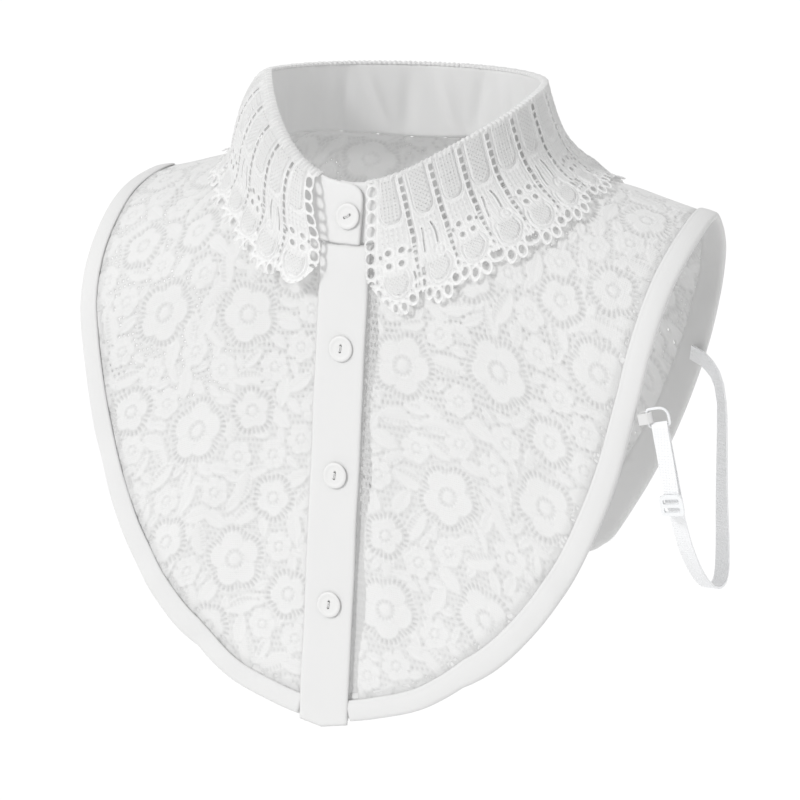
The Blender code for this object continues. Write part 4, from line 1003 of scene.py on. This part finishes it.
def fall_edge_width(side, along):
    """Width from the fold to the scalloped edge in mm, after a number of repeats."""
    wave = np.abs(np.sin(pi * (along + SCALLOP_LEAD * smooth(along)))) ** SCALLOP_POWER
    tip = TIP_LONG[side] * bell(along - TIP_LONG_AT, TIP_LONG_OVER)
    corner = FRONT_CORNER[side] * bell(along, FRONT_CORNER_OVER)
    return (FALL_WIDTH[side] - SCALLOP * (1 - wave) + tip - corner) / MM


def eyelet(u, v, outer, hole, height):
    """A small ring: how deep in its thread, and its height."""
    r = np.hypot(u, v)
    return np.minimum(outer - r, r - hole), cord(r - (outer + hole) / 2, (outer - hole) / 2, height)


class Guipure:
    """The fall's lace: depth in the thread and height, in mm, on a grid of samples."""

    def __init__(self, side, number, t, w, pitch, edge_width):
        self.side, self.w = side, w
        self.first = number == 0
        self.odd = number % 2 == 1
        self.front = t * pitch                           # from the front edge, in the first repeat
        axis = np.where(self.first, (FRONT_STRIP + pitch - RAIL) / 2, pitch / 2)
        self.s = self.front - axis
        self.edge = np.where(self.s < 0, self.front, pitch - self.front)
        strip_edge = self.front - FRONT_STRIP + RAIL
        self.edge = np.where(self.first & (self.s < 0), strip_edge, self.edge)
        self.below = edge_width - w
        self.depth = np.full(w.shape, -0.7)
        self.high = np.zeros(w.shape)

    def put(self, depth, high, where):
        """Replaces what lies there."""
        self.depth = np.where(where, depth, self.depth)
        self.high = np.where(where, high, self.high)

    def lay(self, depth, high, where=True):
        """Adds thread over what lies there."""
        over = where & (depth > 0)
        self.high = np.where(over, np.maximum(self.high * (self.depth > 0), high), self.high)
        self.depth = np.where(where, np.maximum(self.depth, depth), self.depth)

    def lay_cord(self, distance, half, height, where=True):
        """Adds a cord where the distance from its middle is small."""
        self.lay(half - np.abs(distance), cord(distance, half, height), where)

    def ground(self):
        """Solid cloth between the ladders, ribbed and with pin holes below the arches."""
        w, edge = self.w, self.edge
        pin = np.hypot(apart(self.s / RIB_PITCH + 0.25) * RIB_PITCH, apart(w, PINS_DOWN))
        here = (w > PINS_FROM) & (w < PINS_TO) & (edge > RAIL + 0.9)
        pin = np.where(here, 0.26 - pin, -1.0)
        ribs = 0.16 + 0.24 * np.abs(np.sin(pi * self.s / RIB_PITCH)) * (w > PINS_FROM - 1)
        self.put(np.minimum(1.0, -pin), ribs, (edge > RAIL) & (w < GROUND_LONG))

    def ladders(self):
        """Rungs between two cords at every border of two motifs, narrower between the drops."""
        w, edge = self.w, self.edge
        rung = 0.52 - apart(w - 1.6, RUNG_APART)
        self.put(rung, 0.30 * rounded(rung, 0.3), (edge < RAIL) & (w < LADDER_LONG))
        self.lay_cord(edge - RAIL, RAIL_HALF, 0.80, w < LADDER_LONG + 2)
        stay = np.interp(w, [31.0, 36.0, 40.0, 46.0, 51.0], [1.55, 1.4, 1.1, 0.95, 1.4])
        rung = 0.62 - apart(w - 33.0, NARROW_APART)
        narrow = (edge < stay) & (w >= LADDER_LONG) & (w < NARROW_LONG)
        self.put(rung, 0.30 * rounded(rung, 0.3), narrow)
        self.lay_cord(edge - stay, 0.50, 0.55, (w > 31) & (w < NARROW_LONG + 0.5))

    def arches(self):
        """A tongue of fine net hung from the fold between two cords."""
        w = self.w
        half = np.minimum(4.5, np.abs(self.s) + self.edge - 2.55)
        below = np.maximum(w - ARCH_LONG, 0.0)
        arch = half - np.hypot(self.s, below * 0.92)
        turn = np.where(self.odd, 0.785, 0.0)
        a = self.s * np.cos(turn) + w * np.sin(turn)
        b = w * np.cos(turn) - self.s * np.sin(turn)
        fill = 0.46 - np.minimum(apart(a, NET_GRAIN), apart(b, NET_GRAIN))
        self.put(fill, 0.05 + 0.18 * rounded(fill, 0.35), (arch > 0.3) & (w > 1.0))
        self.lay_cord(arch, 0.52, 1.20)
        self.lay_cord(arch + 1.15, 0.40, 0.70, self.edge > RAIL)

    def quatrefoils(self):
        """Four eyelets above every second drop."""
        s, v, even = self.s, self.w - QUATREFOIL, ~self.odd
        for x in (-2.6, 2.6):
            for y in (-2.6, 2.6):
                ring, height = eyelet(s - x, v - y, 2.6, 1.15, 0.65)
                self.put(ring, np.maximum(height, 0.1), even & (np.hypot(s - x, v - y) < 2.0))
                self.lay(ring, height, even)
        for x in (-5.6, 5.6):
            hole = 0.85 - np.hypot((s - x) * 1.2, v + 1.2)
            self.put(-hole, self.high, even & (hole > -0.3))
        bead = 1.0 - np.hypot(s, v)
        self.lay(bead, 0.5 * rounded(bead, 0.6), even)

    def scrolls(self):
        """On every second motif two stems part beside long slits, and one curls into the drop."""
        s, w = self.s, self.w
        bend = 0.9 + 1.2 * np.sin((w - 25) / 14 * pi)
        first = np.minimum(0.36 - np.abs(s - bend), np.minimum(w - 24.5, 34.5 - w))
        second = np.minimum(0.32 - np.abs(s + 3.9 + 0.1 * (w - 28)), np.minimum(w - 25.5, 36.0 - w))
        slit = np.maximum(first, second)
        self.put(np.minimum(-slit, 1.0), self.high, self.odd & (slit > -0.5))
        ridge = np.minimum(np.abs(slit + 0.55), 9)
        self.lay_cord(ridge, 0.45, 0.55, self.odd & (w > 24) & (w < 38))
        curl = np.hypot(s - 2.3, w - 37.6)
        groove = 0.35 - np.abs(curl - 1.2)               # shallow, between curl and eye
        self.put(0.6 - groove, self.high, self.odd & (groove > 0) & (s < 3.2))
        self.lay_cord(curl - 2.3, 0.62, 1.05, self.odd)
        self.lay(0.95 - curl, 0.75 * rounded(0.95 - curl, 0.8), self.odd)

    def drops(self):
        """A rounded drop: two cords round a stippled middle, and a fan of eyelets below it."""
        du, dv = self.s, self.w - DROP
        r = np.hypot(du, np.where(dv < 0, dv * 0.92, dv))
        stipple = 0.50 - np.minimum(apart(du + dv, STIPPLE_GRAIN), apart(du - dv, STIPPLE_GRAIN))
        fill = np.where(r < 4.7, stipple, 1.0)
        closed = (dv >= -3.4) | (np.abs(du) >= 5.0)
        self.put(np.minimum(DROP_OUT - r, fill), 0.08 + 0.18 * rounded(fill, 0.35),
                 (r < DROP_OUT) & closed)
        for radius, height in DROP_CORDS:
            self.lay_cord(r - radius, 0.56, height, closed)
        for angle in FAN_ANGLES + FIRST_FAN_ANGLES:
            a, b = self.turned(du, dv, angle, FAN)
            ring, height = eyelet(a, b * 0.80, 2.70, 1.35, 0.85)
            self.lay(ring, height, (r > 7.1) & ((angle > -80) | (self.first & (self.w < 50))))

    @staticmethod
    def turned(du, dv, angle, out):
        """Across and outwards from a point this far from the drop's centre."""
        c, d = cos(radians(angle)), sin(radians(angle))
        du, dv = du - out * d, dv - out * c
        return du * c - dv * d, du * d + dv * c

    def front_holes(self):
        """A cord down the front edge of each half, looped over a row of holes."""
        w, front = self.w, self.front
        row = apart(w - HOLES_FROM, HOLES_APART)
        middle, wide = (3.1, 1.85) if self.side == "left" else (3.5, 2.15)
        hole = wide - np.hypot(front - middle, row * wide / 2.15)
        here = self.first & (front < FRONT_STRIP - 0.3) & (w < HOLES_LONG)
        self.put(-hole, 0.15, here)
        self.lay_cord(hole + 0.6, 0.60, 0.60, here)
        loop = 1.35 - 1.0 * np.sqrt(np.clip(1 - (row / 2.8) ** 2, 0, 1))
        self.depth = np.where(self.first & (front < 3) & (w < HOLES_LONG),
                              np.minimum(self.depth, front - loop), self.depth)

    def rolled_edge(self):
        """The fold itself is a beaded cord."""
        bead = 0.30 + sum(high * np.cos(2 * pi * self.front / long) for high, long in BEADS)
        self.put(np.ones(self.w.shape), bead, self.w < 0.9)

    def done(self):
        self.depth = np.minimum(self.depth, self.below + 0.6)
        return self.depth, self.high * rounded(self.depth, 0.45)


def fall(side, finish):
    longest = FALL_WIDTH[side] + FALL_SPARE
    shares = np.linspace(0, FALL_END, 150)
    rolled = np.linspace(-ROLL_READ, 0, 17)[:-1]
    widths = np.concatenate([rolled, np.linspace(0, longest, 60)])
    coarse = np.array([fall_column(side, share, widths) for share in shares])
    repeats = repeats_at(shares)
    steps = np.linalg.norm(np.gradient(coarse, axis=0), axis=-1)
    pitch = steps / np.gradient(repeats)[:, None] / MM
    # the pitch is evened out along the fold
    window = bell(np.linspace(-2, 2, 2 * EVENED + 1), 1.0)
    padded = np.pad(pitch, ((EVENED, EVENED), (0, 0)), mode="edge")
    pitch = np.apply_along_axis(np.convolve, 0, padded, window / window.sum(), "valid")
    width = np.linspace(-ROLL_SHOWN, longest, FALL_ROWS)
    at = np.interp(width, widths, np.arange(len(widths)))
    columns = np.linspace(0, len(shares) - 1, FALL_COLUMNS)
    points, pitch = finer(coarse, columns, at), finer(pitch, columns, at)
    share, w = np.meshgrid(np.linspace(0, FALL_END, FALL_COLUMNS), width / MM, indexing="ij")
    repeats = repeats_at(share)
    w_pattern = w * PATTERN_WIDE / (FALL_WIDTH[side] / MM)
    along = np.clip(repeats - np.interp(w_pattern, *SHIFT_AT) * smooth(repeats), 0, REPEATS - 0.001)
    number = np.floor(along).astype(int)
    lace = Guipure(side, number, along - number, w_pattern, pitch, fall_edge_width(side, repeats))
    for paint in (lace.ground, lace.ladders, lace.arches, lace.drops, lace.quatrefoils,
                  lace.scrolls, lace.front_holes, lace.rolled_edge):
        paint()
    depth, high = lace.done()
    # painted shade: the guipure's thread lying low between its raised cords is painted darker
    low = smooth((CORD_PAINTED_SHADE_BELOW - high) / CORD_PAINTED_SHADE_OVER)
    flat = np.stack([share * fold_run(side)[1][-1], w * MM], -1)
    out = grid_normals(points) * -SIGN[side]
    mesh = lace_mesh("fall_" + side, points, out, flat, depth, high - GUIPURE_SUNK, low)
    return add_piece("fall_%s_guipure" % side, mesh, finish, "fall_" + side)


# ---- materials
class Shading:
    """A material, its principled shader and short ways to add nodes."""

    def __init__(self, name, colour, rough):
        self.made = bpy.data.materials.new(name)
        self.made.use_nodes = True
        self.tree = self.made.node_tree
        self.shader = self.tree.nodes["Principled BSDF"]
        self.shader.inputs["Base Color"].default_value = (*colour, 1.0)
        self.shader.inputs["Roughness"].default_value = rough
        self.rough = rough

    def add(self, kind, **inputs):
        node = self.tree.nodes.new(kind)
        for key, value in inputs.items():
            self.set(node, key.replace("_", " "), value)
        return node

    def set(self, node, key, value):
        """Links a socket to an input, or gives it a constant value."""
        if isinstance(value, bpy.types.NodeSocket):
            self.tree.links.new(value, node.inputs[key])
        else:
            node.inputs[key].default_value = value

    def math(self, operation, first, second):
        node = self.add("ShaderNodeMath")
        node.operation = operation
        self.set(node, 0, first)
        self.set(node, 1, second)
        return node.outputs[0]

    def noise(self, place, scale, detail):
        flat = self.add("ShaderNodeTexCoord").outputs[place]
        noise = self.add("ShaderNodeTexNoise", Vector=flat, Scale=scale, Detail=detail)
        return noise.outputs["Fac"]

    def bump(self, strength, distance, height):
        bump = self.add("ShaderNodeBump", Strength=strength, Distance=distance, Height=height)
        self.set(self.shader, "Normal", bump.outputs["Normal"])
        return bump.outputs["Normal"]

    def uneven(self, noise, less, more):
        """Roughness that follows the noise, from so much less to so much more."""
        to_max = min(self.rough + more, 1.0)
        rough = self.add("ShaderNodeMapRange", Value=noise, To_Min=self.rough - less, To_Max=to_max)
        self.set(self.shader, "Roughness", rough.outputs["Result"])


def thread_material(name, colour, rough, threads, grain, relief, through, place="UV", painted_shade=1.0):
    """Woven or knitted thread: two crossing sets of fine waves, and uneven grain.

    through is the share of light that passes. The last argument is painted shade: the share of
    its colour that is left where a lace's thread lies low, as shade painted into its hollows.
    """
    look = Shading(name, colour, rough)
    flat = look.add("ShaderNodeTexCoord")
    waves = []
    for direction in ("X", "Y" if place == "UV" else "Z"):
        wave = look.add("ShaderNodeTexWave", Vector=flat.outputs[place], Scale=threads,
                        Distortion=1.2, Detail=1.0)
        wave.bands_direction = direction
        waves.append(wave.outputs["Fac"])
    noise = look.noise(place, grain, 3.0)
    height = look.math("ADD", look.math("MULTIPLY", *waves), noise)
    normal = look.bump(relief, 0.0003, height)
    look.uneven(noise, 0.08, 0.08)
    look.set(look.shader, "Sheen Weight", 0.10)
    look.set(look.shader, "Sheen Roughness", 0.4)
    look.set(look.shader, "Specular IOR Level", 0.25)
    back_light = look.add("ShaderNodeBsdfTranslucent", Color=(*colour, 1.0), Normal=normal)
    # painted shade: the colour is mixed darker where the point attribute low says the thread lies
    # low
    if painted_shade < 1.0:
        low = look.add("ShaderNodeAttribute")
        low.attribute_name = "low"
        painted_shade_mix = look.add("ShaderNodeMix")
        painted_shade_mix.data_type = "RGBA"
        look.set(painted_shade_mix, 0, low.outputs["Fac"])
        look.set(painted_shade_mix, 6, (*colour, 1.0))
        look.set(painted_shade_mix, 7, (*(painted_shade * part for part in colour), 1.0))
        look.set(look.shader, "Base Color", painted_shade_mix.outputs[2])
        look.set(back_light, "Color", painted_shade_mix.outputs[2])
    mix = look.add("ShaderNodeMixShader", Fac=through)
    look.set(mix, 1, look.shader.outputs["BSDF"])
    look.set(mix, 2, back_light.outputs["BSDF"])
    look.set(look.tree.nodes["Material Output"], "Surface", mix.outputs["Shader"])
    return look.made


def gloss_material(name, colour, rough, coat):
    look = Shading(name, colour, rough)
    noise = look.noise("Object", 900.0, 2.0)
    look.bump(0.08, 0.0002, noise)
    look.uneven(noise, 0.05, 0.07)
    look.set(look.shader, "Coat Weight", coat)
    return look.made


# ---- stage
LAMPS = (  # name, towards it, strength, how wide it looks in degrees
    ("key", (-0.46, -0.76, 0.58), 1.55, 12),
    ("fill", (0.9, -0.3, 0.7), 0.16, 80),
)


def floor_and_light():
    bpy.ops.mesh.primitive_plane_add(size=60, location=(0, 0, -0.9))
    ground = bpy.context.object
    ground.name = "floor"
    ground.data.materials.append(Shading("floor", (0.985, 0.985, 0.985), 0.9).made)
    world = bpy.data.worlds.new("studio")
    bpy.context.scene.world = world
    world.use_nodes = True
    back = world.node_tree.nodes["Background"]
    back.inputs["Color"].default_value = (1.0, 1.0, 1.0, 1.0)
    back.inputs["Strength"].default_value = 0.76
    for name, towards, strength, spread in LAMPS:
        lamp = bpy.data.lights.new(name, "SUN")
        lamp.energy = strength
        lamp.angle = radians(spread)
        holder = bpy.data.objects.new(name, lamp)
        holder.rotation_euler = Vector(towards).to_track_quat("Z", "Y").to_euler()
        bpy.context.scene.collection.objects.link(holder)
    bpy.context.scene.view_settings.view_transform = "Standard"
    bpy.context.scene.view_settings.look = "None"


CAMERA_AZIMUTH, CAMERA_ELEVATION, CAMERA_FAR = radians(26.9), radians(13.1), 1.5
CAMERA_TARGET = Vector((0.0, 0.0, -0.109))
CAMERA_SENSOR = 36.0
PIXELS_A_METRE, PICTURE_WIDE = 2240.7, 800


def camera():
    lens = bpy.data.cameras.new("camera")
    lens.sensor_width = CAMERA_SENSOR
    lens.lens = CAMERA_SENSOR * CAMERA_FAR * PIXELS_A_METRE / PICTURE_WIDE
    lens.shift_x, lens.shift_y = -0.0102, -0.0116
    lens.clip_end = 100
    eye = bpy.data.objects.new("camera", lens)
    a, e = CAMERA_AZIMUTH, CAMERA_ELEVATION
    back = Vector((sin(a) * cos(e), -cos(a) * cos(e), sin(e)))
    eye.location = CAMERA_TARGET + back * CAMERA_FAR
    eye.rotation_euler = back.to_track_quat("Z", "Y").to_euler()
    bpy.context.scene.collection.objects.link(eye)
    bpy.context.scene.camera = eye


# ---- the whole garment
# the second of each is painted shade: the share of colour left where the thread lies lowest
LACE_COLOUR, LACE_PAINTED_SHADE = (0.755, 0.755, 0.752), 0.79
GUIPURE_COLOUR, GUIPURE_PAINTED_SHADE = (0.91, 0.91, 0.907), 0.90


def main():
    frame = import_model()

    # colour, roughness, threads, grain, relief, share of light let through; gloss: its coat
    cotton = thread_material("cotton", (0.765, 0.765, 0.762), 0.78, 900.0, 2500.0, 0.25, 0.12)
    # the stand's cotton is painted a little lighter than the rest, as painted light on its shaded
    # inside
    lightened_stand_cotton = thread_material("stand", (0.775, 0.775, 0.772), 0.78, 900.0, 2500.0, 0.25, 0.12)
    lace = thread_material("lace", LACE_COLOUR, 0.72, 330.0, 900.0, 0.30, 0.25, painted_shade=LACE_PAINTED_SHADE)
    cords = thread_material("guipure", GUIPURE_COLOUR, 0.62, 380.0, 1000.0, 0.40, 0.32,
                            painted_shade=GUIPURE_PAINTED_SHADE)
    elastic = thread_material("elastic", (0.94, 0.945, 0.955), 0.60, 260.0, 1500.0, 0.5, 0.10,
                              "Object")
    tape = thread_material("tape", (0.80, 0.80, 0.797), 0.78, 600.0, 2500.0, 0.25, 0.12, "Object")
    plastic = gloss_material("clear_plastic", (0.80, 0.81, 0.82), 0.25, 0.3)
    pearl = gloss_material("button", (0.675, 0.675, 0.67), 0.50, 0.05)

    front_right = panel("front_right", ["right"], "front", FRONT_SPACING, 3,
                        FRONT_FLOWERS["right"], lace)
    front_left = panel("front_left", ["left"], "front", FRONT_SPACING, 5,
                       FRONT_FLOWERS["left"], lace)
    back = panel("back", ["right", "left"], "back", BACK_SPACING, 8, [], lace)
    edges = [binding(side, cotton) for side in ("right", "left")]
    placket = band("placket", cotton)
    underlap = band("underlap", cotton)
    neck_band = stand(lightened_stand_cotton)
    falls = [fall(side, cords) for side in ("right", "left")]
    buttons(pearl, cotton)
    finishes = {"strap_lower": elastic, "strap_upper": elastic, "strap_tab": tape,
                "ring": plastic, "slider": plastic}
    for part, finish in finishes.items():
        for side in ("left", "right"):
            for slot in frame["nodes"]["%s_%s" % (part, side)].material_slots:
                slot.material = finish

    camera()
    floor_and_light()


main()
